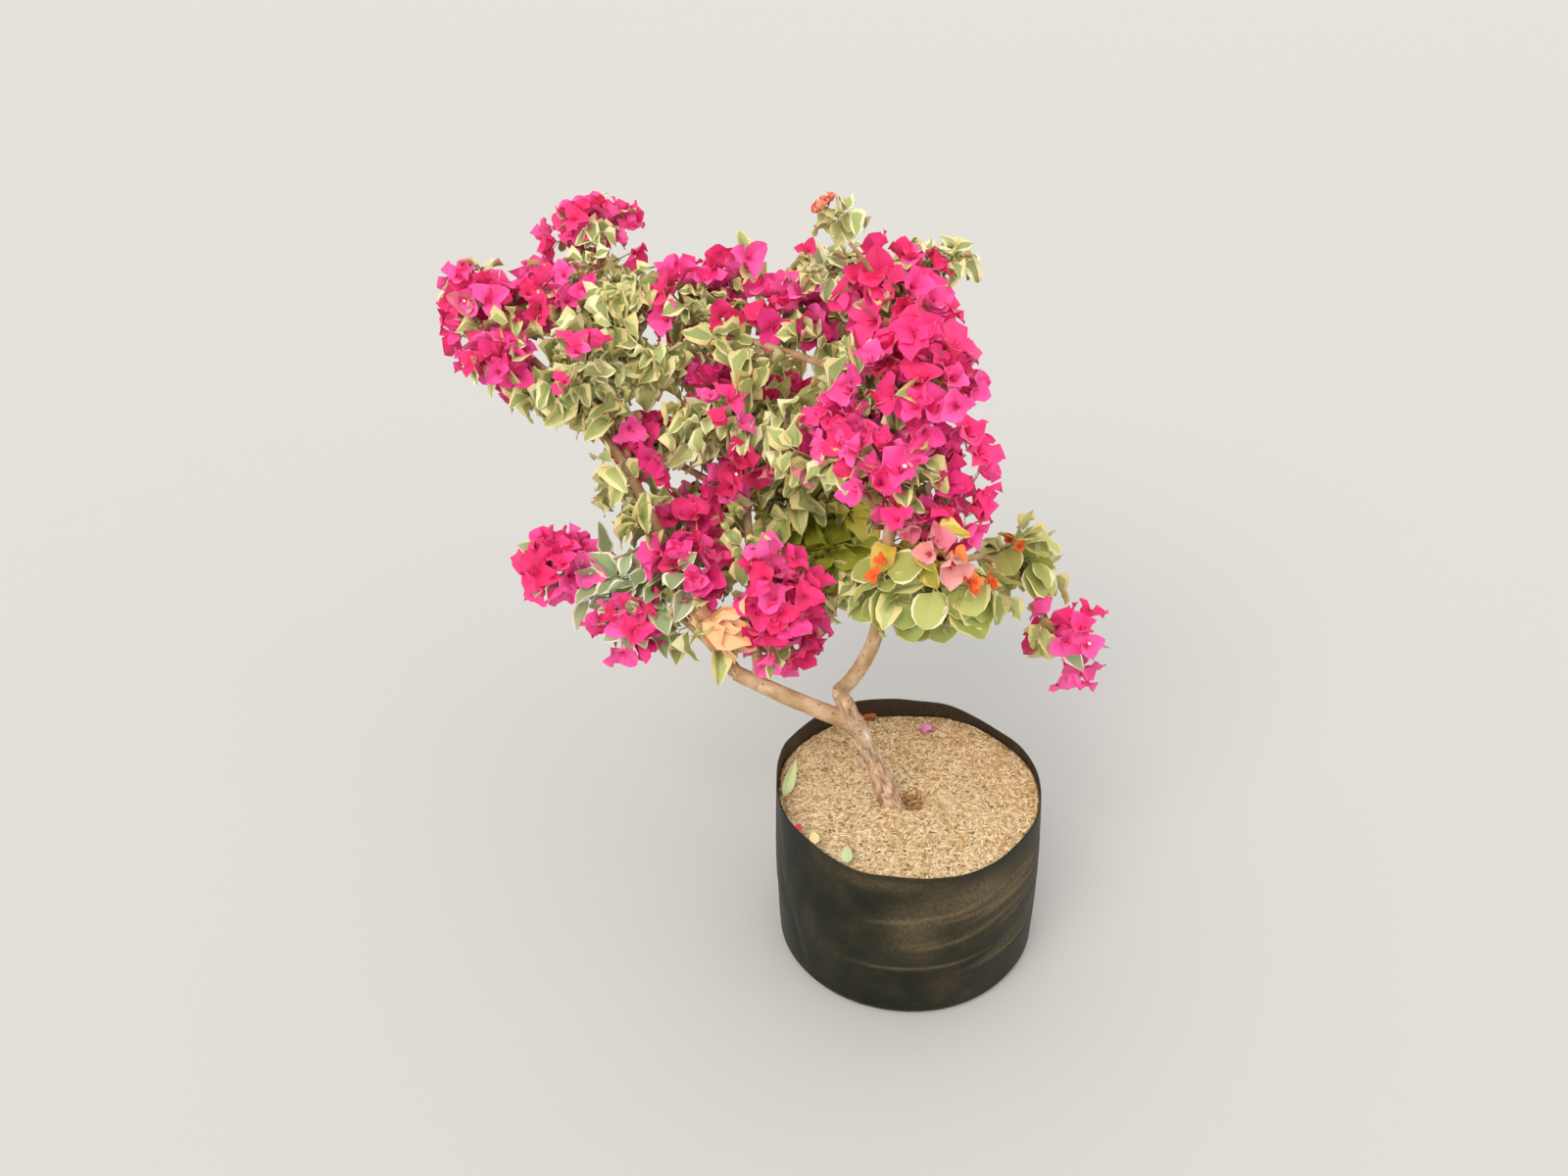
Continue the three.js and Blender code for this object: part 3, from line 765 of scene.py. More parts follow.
def shown(name, data):
    """A new object in the scene for a mesh, a lamp or a camera."""
    item = bpy.data.objects.new(name, data)
    bpy.context.scene.collection.objects.link(item)
    return item


def finish_piece(name, mesh, materials, nodes=()):
    """Shows a mesh as a piece that rides with the bush and stands for its CAD nodes."""
    piece = shown(name, mesh)
    for material in materials:
        mesh.materials.append(material)
    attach(piece, "root")
    if nodes:
        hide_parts(*nodes)


def waves(folds, angle):
    """The height of a set of folds round the bag."""
    return sum(depth * np.sin(count * angle + phase) for count, depth, phase in folds)


def wall_radius(angle, height):
    """The bag's outer radius in millimetres, with its belly and its folds."""
    share = np.clip(height / RIM_HEIGHT, 0, 1)
    fold_share = FOOT_FOLD_SHARE + (1 - FOOT_FOLD_SHARE) * share
    return BAG_RADIUS + waves(WALL_FOLDS, angle) * fold_share + WALL_BELLY * np.sin(np.pi * share)


def pit_share(x, y):
    """How much of the hollow's depth a place has, from 0 to 1."""
    away = math.hypot(x - PIT_PLACE[0], y - PIT_PLACE[1]) / PIT_RADIUS
    return math.exp(-(away**4))


def mulch_height(x, y):
    """The height of the mulch's top at a place, all in millimetres."""
    humps = np.sin(x / HUMP_WIDTH + 1) * np.sin(y / HUMP_WIDTH)
    return MULCH_TOP + HUMP_HEIGHT * humps - PIT_DEPTH * pit_share(x, y)


def bag_creases(rng, count):
    """Creases pressed into the film: most of them level, fine and on the side towards +X, and
    the rest broad and steep. Each is its heading, its half width as an angle, its height, slope,
    depth and thickness, and how much dust lies in it."""
    creases = []
    for _ in range(count):
        level = rng.random() < LEVEL_SHARE
        ranges = LEVEL_CREASE if level else STEEP_CREASE
        heading, half, height, slope = [rng.uniform(*ends) for ends in ranges[:4]]
        slope *= 1 if level else rng.choice((-1, 1))
        depth, thickness = [rng.uniform(*ends) for ends in ranges[4:]]
        dust = rng.uniform(*LEVEL_CREASE_DUST) if level else 0
        creases.append((math.radians(heading), math.radians(half), height, slope, depth, thickness, dust))
    return creases


def crease_shares(creases, angle, height):
    """How far the creases pull the film in, in millimetres, and the dust in them."""
    depth, dust = np.zeros_like(height), np.zeros_like(height)
    for heading, half, middle, slope, deep, thick, dusty in creases:
        off = np.angle(np.exp(1j * (angle - heading)))
        line = (height - middle - slope * off) / thick
        share = np.exp(-((off / half) ** 4)) * np.exp(-(line**2))
        depth += deep * share
        dust += dusty * share
    return depth, dust


def patch_dust(angle, height):
    """The dust of the patches on the bag."""
    dust = np.zeros_like(height)
    for heading, middle, half_angle, half_height, thick in DUST_PATCHES:
        off = np.angle(np.exp(1j * (angle - math.radians(heading)))) / math.radians(half_angle)
        dust += thick * np.exp(-(off**2) - ((height - middle) / half_height) ** 2)
    return dust


def spun(shape, profile, cuts, steps):
    """Spins a profile, in millimetres, once round. Each of the cuts is a stretch of the profile
    and how many times it is cut."""
    points = [shape.verts.new((x * MM, 0, z * MM)) for x, z in profile]
    edges = [shape.edges.new(pair) for pair in zip(points, points[1:])]
    for place, count in cuts:
        bmesh.ops.subdivide_edges(shape, edges=[edges[place]], cuts=count)
    bmesh.ops.spin(
        shape, geom=shape.verts[:] + shape.edges[:], cent=(0, 0, 0), axis=(0, 0, 1),
        angle=2 * math.pi, steps=steps, use_merge=True,
    )
    bmesh.ops.remove_doubles(shape, verts=shape.verts, dist=1e-6)


def smooth_mesh(name, shape):
    """A shape's mesh with smooth faces."""
    for face in shape.faces:
        face.smooth = True
    mesh = bpy.data.meshes.new(name)
    shape.to_mesh(mesh)
    shape.free()
    return mesh


def keep(mesh, name, values):
    """Keeps a number for each of a mesh's points, for its material to read."""
    values = np.asarray(values, np.float32)
    mesh.attributes.new(name, "FLOAT", "POINT").data.foreach_set("value", values)


def rim_rise(angle):
    """How far the rim stands above its mean height, in millimetres."""
    return RIM_RISE * np.cos(angle - math.radians(RIM_RISE_HEADING)) + waves(RIM_FOLDS, angle)


class BUSH_OT_nursery_bag(bpy.types.Operator):
    """Turns the soft black bag, with its creases and its uneven rim"""

    bl_idname = "bush.nursery_bag"
    bl_label = "Nursery bag"

    def execute(self, context):
        shape = bmesh.new()
        bend = BAG_FOOT_BEND * (1 - math.sqrt(0.5))
        profile = [
            (0, 0),
            (BAG_RADIUS - BAG_FOOT_BEND, 0),
            (BAG_RADIUS - bend, bend),
            (BAG_RADIUS, BAG_FOOT_BEND),
            (BAG_RADIUS, RIM_HEIGHT),
        ]
        spun(shape, profile, [(-1, BAG_RINGS), (0, BAG_FOOT_RINGS)], BAG_STEPS)
        places = np.array([vert.co for vert in shape.verts]) / MM
        angle = np.arctan2(places[:, 1], places[:, 0])
        height = places[:, 2].copy()
        creases = bag_creases(random.Random("creases"), context.scene.bush_sizes.crease_count)
        radius = wall_radius(angle, height) - crease_shares(creases, angle, height)[0]
        swell = radius / BAG_RADIUS
        share = np.clip((height - RIM_FOLD_START) / (RIM_HEIGHT - RIM_FOLD_START), 0, 1)
        places[:, :2] *= swell[:, None]
        places[:, 2] += share * rim_rise(angle)
        for vert, place in zip(shape.verts, places):
            vert.co = place * MM
        bmesh.ops.recalc_face_normals(shape, faces=shape.faces)
        bmesh.ops.solidify(shape, geom=shape.faces[:], thickness=BAG_FILM * MM)
        mesh = smooth_mesh("nursery_bag", shape)
        self.dust(mesh, creases)
        finish_piece("nursery_bag", mesh, [dusty_film()], ["bag"])
        return {"FINISHED"}

    def dust(self, mesh, creases):
        """Keeps on the mesh how dusty each point is, and which points are inside."""
        places = read(mesh.vertices, "co", 3) / MM
        angle = np.arctan2(places[:, 1], places[:, 0])
        risen = rim_rise(angle) / (RIM_HEIGHT - RIM_FOLD_START)
        height = places[:, 2]
        height = np.where(height > RIM_FOLD_START, (height + RIM_FOLD_START * risen) / (1 + risen), height)
        depth, dust = crease_shares(creases, angle, height)
        outside = wall_radius(angle, height) - depth
        inside = np.hypot(places[:, 0], places[:, 1]) < outside - BAG_FILM / 2
        dust = dust + patch_dust(angle, height)
        keep(mesh, "film_dust", np.where(inside, INSIDE_DUST, dust))
        keep(mesh, "film_inside", inside)


def hull_mould():
    """A rice hull: half a slim husk, boat shaped and open below, of length 1 along Y."""
    shape = bmesh.new()
    bmesh.ops.create_grid(shape, x_segments=2, y_segments=3, size=0.5)
    for vert in shape.verts:
        share = vert.co.y + 0.5
        width = HULL_WIDTH * max(0.15, math.sin(math.pi * share) ** 0.7)
        rise = HULL_RISE * (1 - (2 * vert.co.x) ** 2) * math.sin(math.pi * min(0.97, max(0.03, share)))
        vert.co.x *= width
        vert.co.z = rise + HULL_BOW * math.cos(math.pi * vert.co.y * 2)
    return Mould.of(shape)


class BUSH_OT_mulch(bpy.types.Operator):
    """Fills the bag with its bed of mulch, and lays the rice hulls and fallen bits on it"""

    bl_idname = "bush.mulch"
    bl_label = "Mulch of rice hulls"

    def execute(self, context):
        sizes = context.scene.bush_sizes
        self.bed()
        self.hulls(sizes.hull_length, sizes.hull_count)
        self.fallen_bits()
        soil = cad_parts["soil"]
        stops = [(0.3, "#2e2218"), (0.55, "#4a3828"), (0.75, "#6b5540")]
        soil.data.materials.clear()
        soil.data.materials.append(crumbly("potting_soil_sieved", stops, 12, 0.95, 2))
        return {"FINISHED"}

    def bed(self):
        shape = bmesh.new()
        edge = BAG_RADIUS - BAG_FILM - EDGE_GAP
        foot = SOIL_TOP + SEAT_GAP
        profile = [(0, foot), (edge, foot), (edge, MULCH_TOP), (0, MULCH_TOP)]
        spun(shape, profile, [(-1, MULCH_RINGS)], MULCH_STEPS)
        for vert in shape.verts:
            x, y, z = (vert.co / MM)[:]
            swell = wall_radius(math.atan2(y, x), z) / BAG_RADIUS
            if z > MULCH_TOP - 1:
                vert.co.z = mulch_height(x, y) * MM
            vert.co.x *= swell
            vert.co.y *= swell
        bmesh.ops.recalc_face_normals(shape, faces=shape.faces)
        mesh = smooth_mesh("mulch_bed", shape)
        # The bed is darker than the hulls that lie on it: this paints the shade in the gaps between them
        stops = [(0.3, "#7e6038"), (0.5, "#a37f4f"), (0.7, "#c09c6a")]
        bed = crumbly("rice_hull_mulch_packed_shade_painted", stops, 7, 0.92, 1.5)
        finish_piece("mulch_bed", mesh, [bed], ["mulch"])

    def hulls(self, length, count):
        rng = random.Random("hulls")
        mould = hull_mould()
        trunk = all_limbs()["trunk"]
        at_top = np.abs(trunk.line[:, 2] - MULCH_TOP * MM).argmin()
        middle, girth = trunk.line[at_top] / MM, trunk.radii[at_top] / MM
        heap = Heap()
        while len(heap.corners) < count:
            angle = rng.uniform(-math.pi, math.pi)
            reach = wall_radius(angle, MULCH_TOP) - BAG_FILM - HULL_INSET
            radius = reach * math.sqrt(rng.random())
            x, y = radius * math.cos(angle), radius * math.sin(angle)
            if math.hypot(x - middle[0], y - middle[1]) < girth + TRUNK_ROOM:
                continue
            # Neighbours lie much the same way, as poured hulls do
            heading = 9 * noise.noise(Vector((x, y, 0)) / HULL_DRIFT) + rng.gauss(0, HULL_TURN)
            if radius > reach - WALL_ROW:
                heading = angle + math.pi / 2 + rng.gauss(0, WALL_TURN)
            along = np.array([math.cos(heading), math.sin(heading), rng.gauss(0, 0.1)])
            facing = UP + np.array([rng.gauss(0, HULL_TILT), rng.gauss(0, HULL_TILT), 0])
            place = np.array([x, y, mulch_height(x, y) + rng.uniform(*HULL_LIFTS)]) * MM
            size = length * rng.uniform(*HULL_SIZES)
            # Warmer towards the back and the right, and darker in the hollow, where the darker tones are
            # painted shade
            warm = max(0, noise.noise(Vector((x, y, 0)) / HULL_PATCH) + (x + y) / (2 * BAG_RADIUS))
            shares = [open_share + warm * more for open_share, more in zip(OPEN_TONES, WARM_TONES)]
            if pit_share(x, y) > HOLLOW_SHADE_SHARE:
                shares = HOLLOW_SHADE_TONES
            tone = rng.choices(range(len(HULL_TONES)), shares)[0]
            heap.add(mould, stood(mould, place, along, facing, size), [tone])
        # Rice hulls, dried and threshed: silica in them gives a faint gloss on dull straw
        finishes = tissues("rice_hull_dried", HULL_TONES, 0.62)
        finish_piece("rice_hulls", heap.mesh("rice_hulls"), finishes)

    def fallen_bits(self):
        rng = random.Random("fallen")
        leaf = blade_mould(rng, LEAF_CUT, 0.3, 0.3, 0.5, 0.1)
        long_leaf = blade_mould(rng, LEAF_CUT, 0.13, 0.8, -0.5, 0.1)
        bract = blade_mould(rng, BRACT_CUT, 0.4, 0.3, 0.6, 0.2)
        heap = Heap()
        # Each bit: its mould, place, lift, heading, slope, size and tone
        bits = [
            (bract, (36, 122), 3, 30, 4, 22, 0),
            (bract, (45, 122), 3, 150, 4, 20, 5),
            (bract, (40, 135), 3, 265, 4, 23, 0),
            (long_leaf, (-157, -13), 2, 74, 20, 60, 1),
            (leaf, (-82, -135), 7, 95, 40, 24, 1),
            (leaf, (-118, -107), 12, 100, 30, 20, 2),
            (leaf, (-20, 151), 4, 175, 10, 30, 3),
            (leaf, (-30, 134), 3, 20, 4, 12, 2),
            (bract, (-140, -80), 13, 60, 20, 11, 4),
        ]
        for mould, (x, y), lift, heading, slope, size, tone in bits:
            place = np.array([x, y, mulch_height(x, y) + lift]) * MM
            facing = UP + np.array([rng.gauss(0, 0.3), rng.gauss(0, 0.3), 0])
            corners = stood(mould, place, way(heading, slope), facing, size * MM)
            heap.add(mould, corners, [tone, tone])
        tones = ["#d47fa8", "#c3cc98", "#e3cf95", "#b96c3a", "#d3404f", "#dba0b8"]
        # Fallen bracts and leaves, dried: papery, with a dull face
        finishes = tissues("fallen_petal_dried", tones, 0.7)
        finish_piece("fallen_bits", heap.mesh("fallen_bits"), finishes)


class BUSH_OT_trunk_and_boughs(bpy.types.Operator):
    """Joins the trunk and the boughs into one skin of bark"""

    bl_idname = "bush.trunk_and_boughs"
    bl_label = "Trunk and boughs"

    def execute(self, context):
        limbs = all_limbs()
        heap = Heap()
        for limb in limbs.values():
            tube = straight_tube(LIMB_SIDES, len(limb.line) - 1)
            heap.add(tube, bent(tube, limb.line, limb.radii))
        for line, radii in self.knobs(limbs):
            tube = straight_tube(LIMB_SIDES, len(line) - 1)
            heap.add(tube, bent(tube, line, radii))
        rough = shown("rough", heap.mesh("rough"))
        remesh = rough.modifiers.new("skin", "REMESH")
        remesh.mode = "VOXEL"
        remesh.voxel_size = BARK_VOXEL * MM
        remesh.use_smooth_shade = True
        context.view_layer.update()
        seen = rough.evaluated_get(context.evaluated_depsgraph_get())
        mesh = bpy.data.meshes.new_from_object(seen)
        bpy.data.objects.remove(rough)
        mesh.name = "trunk_and_boughs"
        self.relief(mesh, limbs, context.scene.bush_sizes.furrow_depth)
        nodes = ["trunk"] + [f"bough_{name}" for name in limbs if name != "trunk"]
        mesh.materials.clear()
        finish_piece("trunk_and_boughs", mesh, [weathered_bark()], nodes)
        return {"FINISHED"}

    def knobs(self, limbs):
        """The lines and radii of the pruned stub at the elbow and the swelling round the fork."""
        places = (limbs["kink"].line[-1], limbs["trunk"].at(FORK_SHARE))
        for place, (back, onward, radii) in zip(places, (STUB, FORK_SWELLING)):
            start = place - back[0] * MM * way(*back[1:])
            end = place + onward[0] * MM * way(*onward[1:])
            yield np.linspace(start, end, len(radii)), np.array(radii) * MM

    def relief(self, mesh, limbs, depth):
        """Smooths the skin, then furrows it along each limb and keeps where each point is on it."""
        shape = bmesh.new()
        shape.from_mesh(mesh)
        for _ in range(BARK_SMOOTHINGS):
            bmesh.ops.smooth_vert(
                shape, verts=shape.verts, factor=0.5, use_axis_x=True, use_axis_y=True, use_axis_z=True
            )
        shape.normal_update()
        tree = kdtree.KDTree(sum(len(limb.line) for limb in limbs.values()))
        samples = []
        for order, (name, limb) in enumerate(limbs.items()):
            _, side, over = frames_along(limb.line)
            for n, point in enumerate(limb.line):
                tree.insert(point, len(samples))
                run = n * LIMB_STEP * MM + BARK_SHIFT * order
                samples.append((point, side[n], over[n], run, limb.radii[n], BARK_AGES.get(name, 0)))
        tree.balance()
        places = np.zeros((len(shape.verts), 3), np.float32)
        ages = np.zeros(len(shape.verts))
        skin = np.array([vert.co for vert in shape.verts])
        marks = {name: self.mark_shares(skin, limbs, name) for name in ("bark_scar", "bark_seam")}
        for vert in shape.verts:
            near = [samples[found[1]] for found in tree.find_n(vert.co, AGE_SAMPLES)]
            point, side, over, run, radius, _ = near[0]
            age = sum(sample[5] for sample in near) / len(near)
            off = np.array(vert.co) - point
            across = Vector((off @ side, off @ over, 0)).normalized() * radius
            places[vert.index] = (across.x, across.y, run)
            ages[vert.index] = age
            spot = Vector((across.x * RIDGES_ACROSS, across.y * RIDGES_ACROSS, run * RIDGES_ALONG))
            ridge = 1 - RIDGE_STEEPNESS * abs(noise.noise(spot))
            lump = noise.noise(Vector((across.x * LUMPS, across.y * LUMPS, run * LUMPS)))
            vert.co += vert.normal * depth * (age * ridge + (YOUNG_LUMPS + OLD_LUMPS * age) * lump)
            vert.co -= vert.normal * SEAM_DEPTH * MM * float(marks["bark_seam"][vert.index])
        shape.to_mesh(mesh)
        shape.free()
        mesh.attributes.new("bark_place", "FLOAT_VECTOR", "POINT").data.foreach_set("vector", places.ravel())
        for name, shares in {"bark_age": ages, **marks}.items():
            keep(mesh, name, shares)

    def mark_shares(self, skin, limbs, wanted):
        """How much of one kind of mark each point of the skin has."""
        shares = np.zeros(len(skin))
        for name, limb_name, where, side, half_length, half_width, plain in MARKS:
            if name != wanted:
                continue
            limb = limbs[limb_name]
            at = int(where * (len(limb.line) - 2))
            upward = unit(limb.line[at + 1] - limb.line[at])
            off = skin - limb.at(where) - limb.radii[at] * unit(side)
            along = off @ upward
            beside = np.linalg.norm(off - along[:, None] * upward, axis=1)
            shares += plain * np.exp(-((along / half_length / MM) ** 4) - (beside / half_width / MM) ** 4)
        return shares


# A blade's droop grows with this power of the way along it, and its edge waves by this many
# radians from end to end
BLADE_DROOP = 1.4
BLADE_WAVES = 9
# A cut is where the rows of a blade lie along it and its half width at each, as shares
LEAF_CUT = {
    "rows": (0, 0.13, 0.25, 0.4, 0.58, 0.76, 0.91, 1),
    "widths": (0.03, 0.04, 0.78, 1, 0.94, 0.66, 0.3, 0.02),
}
ROUND_CUT = {
    "rows": (0, 0.12, 0.24, 0.4, 0.58, 0.76, 0.91, 1),
    "widths": (0.03, 0.04, 0.8, 1, 0.99, 0.85, 0.52, 0.06),
}
BRACT_CUT = {
    "rows": (0, 0.09, 0.25, 0.47, 0.7, 0.88, 1),
    "widths": (0.1, 0.6, 0.95, 1, 0.79, 0.42, 0.02),
}
# Each kind of leaf: how many moulds it has, its width against its length, the ranges of its fold
# and its droop, how wavy it is, the range of where its margin begins, and its cut
LEAF_KINDS = {
    "edged": (9, 0.53, (0.1, 1.0), (0.4, 2.1), 0.8, (0.34, 0.76), LEAF_CUT),
    "fresh": (6, 0.58, (0.0, 0.45), (0.1, 0.8), 0.2, (0.6, 0.88), LEAF_CUT),
    "small": (7, 0.58, (0.1, 0.9), (0.3, 1.9), 0.6, (0.3, 0.72), LEAF_CUT),
    "broad": (6, 0.84, (-0.1, 0.3), (0.1, 0.7), 0.14, (0.78, 0.93), ROUND_CUT),
    "plain": (6, 0.8, (0, 0.4), (0.2, 1.0), 0.15, (0.8, 0.94), ROUND_CUT),
    "yellow": (5, 0.6, (0.1, 0.9), (0.4, 1.6), 0.5, (0.5, 0.85), LEAF_CUT),
}
LEAF_WIDTHS = (0.88, 1.12)
# A flower's parts against the length of its bracts: how far from its axis the bracts and tubes
# begin, how far off it the tubes end and how high they bend and end, their radii, and a star's
# radius, the share of it where its notches lie, and how far it stands off its tube
FLOWER_FOOT = 0.03
TUBE_SPREAD = 0.1
TUBE_BEND = 0.2
TUBE_ENDS = (0.34, 0.42)
TUBE_RADII = (0.018, 0.026, 0.034)
STAR_RADIUS = 0.09
STAR_NOTCH = 0.62
STAR_LIFT = 0.012


def blade_mould(rng, cut, width, fold, droop, wave, margin=(0.5, 0.85), twist=0.3):
    """A leaf or bract of length 1 along Y, its upper face up: creased along its middle, its
    edges waved, and bent down towards its tip. Zone 0 is its middle and zone 1 its margin."""
    rows, widths = cut["rows"], cut["widths"]
    last = len(rows) - 1
    shape = bmesh.new()
    bmesh.ops.create_grid(shape, x_segments=4, y_segments=last, size=1)
    columns = {}
    phase = [rng.uniform(0, 6.3), rng.uniform(0, 6.3)]
    turn = rng.uniform(-twist, twist)
    inner = {(side, row): rng.uniform(*margin) for side in (-1, 1) for row in range(last + 1)}
    slopes = [-droop * row**BLADE_DROOP for row in rows]
    steps = np.diff(rows, prepend=0)
    ways = [(slopes[max(0, n - 1)] + slopes[n]) / 2 for n in range(last + 1)]
    forward = np.cumsum([step * math.cos(slope) for step, slope in zip(steps, ways)])
    fall = np.cumsum([step * math.sin(slope) for step, slope in zip(steps, ways)])
    for vert in shape.verts:
        row = round((vert.co.y + 1) / 2 * last)
        column = round(2 * vert.co.x)
        columns[vert] = column
        half = width * widths[row]
        side = 1 if column > 0 else -1
        share = 0 if column == 0 else 1 if abs(column) == 2 else inner[side, row]
        x = side * share * half
        ripple = wave * half * share**2 * math.sin(BLADE_WAVES * rows[row] + phase[side > 0])
        z = fold * abs(x) + ripple
        angle = turn * rows[row]
        x, z = x * math.cos(angle) - z * math.sin(angle), x * math.sin(angle) + z * math.cos(angle)
        lean = slopes[row]
        vert.co = (x, forward[row] - z * math.sin(lean), fall[row] + z * math.cos(lean))
    for face in shape.faces:
        face.material_index = int(max(abs(columns[vert]) for vert in face.verts) == 2)
    crease = [edge for edge in shape.edges if all(columns[vert] == 0 for vert in edge.verts)]
    bmesh.ops.split_edges(shape, edges=crease)
    return Mould.of(shape)


def flower_mould(rng, opening, stars, width=0.45):
    """Three papery bracts round three slender tubes, up Z. Zone 0 is the bracts, zone 1 the
    tubes and zone 2 the small white stars that some tubes open into."""
    heap = Heap()
    tube = straight_tube(4, 2)
    for spoke in range(3):
        heading = 120 * spoke + rng.uniform(-12, 12)
        angle = math.radians(heading)
        outward = np.array([math.cos(angle), math.sin(angle), 0])
        lean = math.radians(opening + rng.uniform(-8, 8))
        along = math.sin(lean) * outward + math.cos(lean) * UP
        facing = UP * math.sin(lean) - outward * math.cos(lean)
        bract = blade_mould(
            rng, BRACT_CUT, width * rng.uniform(0.9, 1.1), rng.uniform(0.2, 0.8), rng.uniform(-0.5, 0.9),
            rng.uniform(0.25, 0.6), twist=0.5,
        )
        foot = FLOWER_FOOT * outward
        heap.add(bract, stood(bract, foot, along, facing, rng.uniform(0.92, 1.05)), [0, 0])
        end = TUBE_SPREAD * outward + UP * rng.uniform(*TUBE_ENDS)
        line = arch(foot, TUBE_SPREAD * outward + TUBE_BEND * UP, end, 2)
        heap.add(tube, bent(tube, line, TUBE_RADII), [1])
        if spoke < stars:
            star = bmesh.new()
            bmesh.ops.create_circle(star, cap_ends=True, cap_tris=True, segments=10, radius=STAR_RADIUS)
            for vert in star.verts:
                if vert.index % 2:
                    vert.co *= STAR_NOTCH
            star = Mould.of(star)
            heap.add(star, star.corners + end + STAR_LIFT * UP, [2])
    return heap.mould()


class Crown:
    """What has grown: twigs, leaves and flowers, each with its place and its tones."""

    def __init__(self, sizes):
        self.sizes = sizes
        self.twigs, self.leaves, self.flowers = [], [], []
        lines = [limb.line for limb in all_limbs().values()]
        self.wood = np.concatenate([line[int(WOOD_START * len(line)) :] for line in lines])

    def twig(self, rng, start, end, lift):
        """A twig that arches from start to end, and its line."""
        length = float(np.linalg.norm(end - start))
        middle = (start + end) / 2 + lift * length * UP
        middle = middle + TWIG_SWAY * length * np.array([rng.gauss(0, 1), rng.gauss(0, 1), 0])
        line = arch(start, middle, end, TWIG_STEPS)
        thick = min(TWIG_MOST, TWIG_LEAST + TWIG_GAIN * length / MM)
        radii = np.linspace(thick, TWIG_TIP, TWIG_STEPS + 1) * MM
        self.twigs.append((line, radii, rng.randrange(len(TWIG_BARKS))))
        return line

    def spots(self, rng, centre, half, count):
        """Places spread through a mass, each the furthest of a few from those before it, and
        further out on some sides of the mass than on others."""
        found = []
        phase = Vector((rng.uniform(0, 50), 0, 0))
        while len(found) < count:
            tries = []
            for _ in range(SPOT_TRIES):
                outward = unit([rng.gauss(0, 1) for _ in range(3)])
                if outward[2] < SHADED_SHARE and rng.random() < SHADED_LOSS:
                    outward[2] = -outward[2]
                lump = 1 + LUMP * noise.noise(Vector(LUMP_GRAIN * outward) + phase)
                spot = centre + half * outward * lump * rng.uniform(*SPOT_DEPTHS)
                gap = min((np.linalg.norm(spot - other) for other, _ in found), default=0)
                tries.append((gap, len(tries), spot, unit(outward / half)))
            found.append(max(tries)[2:])
        return found

    def mass(self, name):
        """Fills one mass: its spots in turn are reached by a twig from the nearest wood."""
        rng = random.Random(name)
        habit = HABITS.get(name) or HABITS[name.split("_")[0]]
        low, high = (np.array(corner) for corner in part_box(name))
        centre, half = (low + high) / 2, (high - low) / 2
        if not habit["cyme"]:
            centre = centre + SAG_SHARE * habit["hang"] * habit["length"] * MM * UP
        inset = (FLOWERY_INSET if habit["cyme"] else LEAFY_INSET) * MM
        a, b, c = half / MM
        mean = ((a * b) ** ELLIPSOID_POWER + (a * c) ** ELLIPSOID_POWER + (b * c) ** ELLIPSOID_POWER) / 3
        outside = 4 * math.pi * mean ** (1 / ELLIPSOID_POWER)
        count = max(LEAST_SPOTS, round(outside / habit["room"]))
        spots = self.spots(rng, centre, np.maximum(half - inset, LEAST_HALF * half), count)
        away = np.linalg.norm((self.wood - centre) / half, axis=1)
        root = self.wood[away.argmin()]
        reached = [root, *self.wood[away < NEAR_WOOD]]
        for spot, outward in sorted(spots, key=lambda each: np.linalg.norm(each[0] - root)):
            costs = [
                np.linalg.norm(spot - place) + DETOUR_COST * np.linalg.norm(place - root) for place in reached
            ]
            line = self.twig(rng, reached[int(np.argmin(costs))], spot, rng.uniform(*TWIG_LIFTS))
            reached += list(line[2:-1])
            self.dress(rng, line, outward, habit)

    def sprigs(self, name):
        """Short leafy twigs along the outer part of a bough."""
        rng = random.Random("sprigs of " + name)
        limb = all_limbs()[name]
        begin, gap = SPRIGS[name]
        along, side, over = frames_along(limb.line)
        place, last = begin * (len(limb.line) - 1), len(limb.line) - 1
        while place < last:
            n = int(place)
            angle = rng.uniform(0, 2 * math.pi)
            out = math.cos(angle) * side[n] + math.sin(angle) * over[n]
            outward = unit(out + 0.45 * UP)
            reach = rng.uniform(*SPRIG_REACHES) * MM
            end = limb.line[n] + reach * unit(outward + 0.5 * along[n])
            line = self.twig(rng, limb.line[n], end, rng.uniform(*SPRIG_LIFTS))
            self.dress(rng, line, outward, SPRIG)
            place += gap / LIMB_STEP * rng.uniform(*SPRIG_PLAY)

    def more_flowers(self, name, shares, kind, count, share):
        """A few flowers on a twig of their own, on the outside of a mass."""
        rng = random.Random(f"{name} {shares}")
        low, high = (np.array(corner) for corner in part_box(name))
        tip = (low + high) / 2 + np.array(shares) * (high - low) / 2
        ends = np.array([line[-2] for line, _, _ in self.twigs])
        start = ends[np.linalg.norm(ends - tip, axis=1).argmin()]
        line = self.twig(rng, start, tip, 0.05)
        axis = unit(DROOP.get(kind) or unit(shares) + 0.3 * UP)
        self.cyme(rng, line[-1], axis, count, self.sizes.bract_length * share, kind)

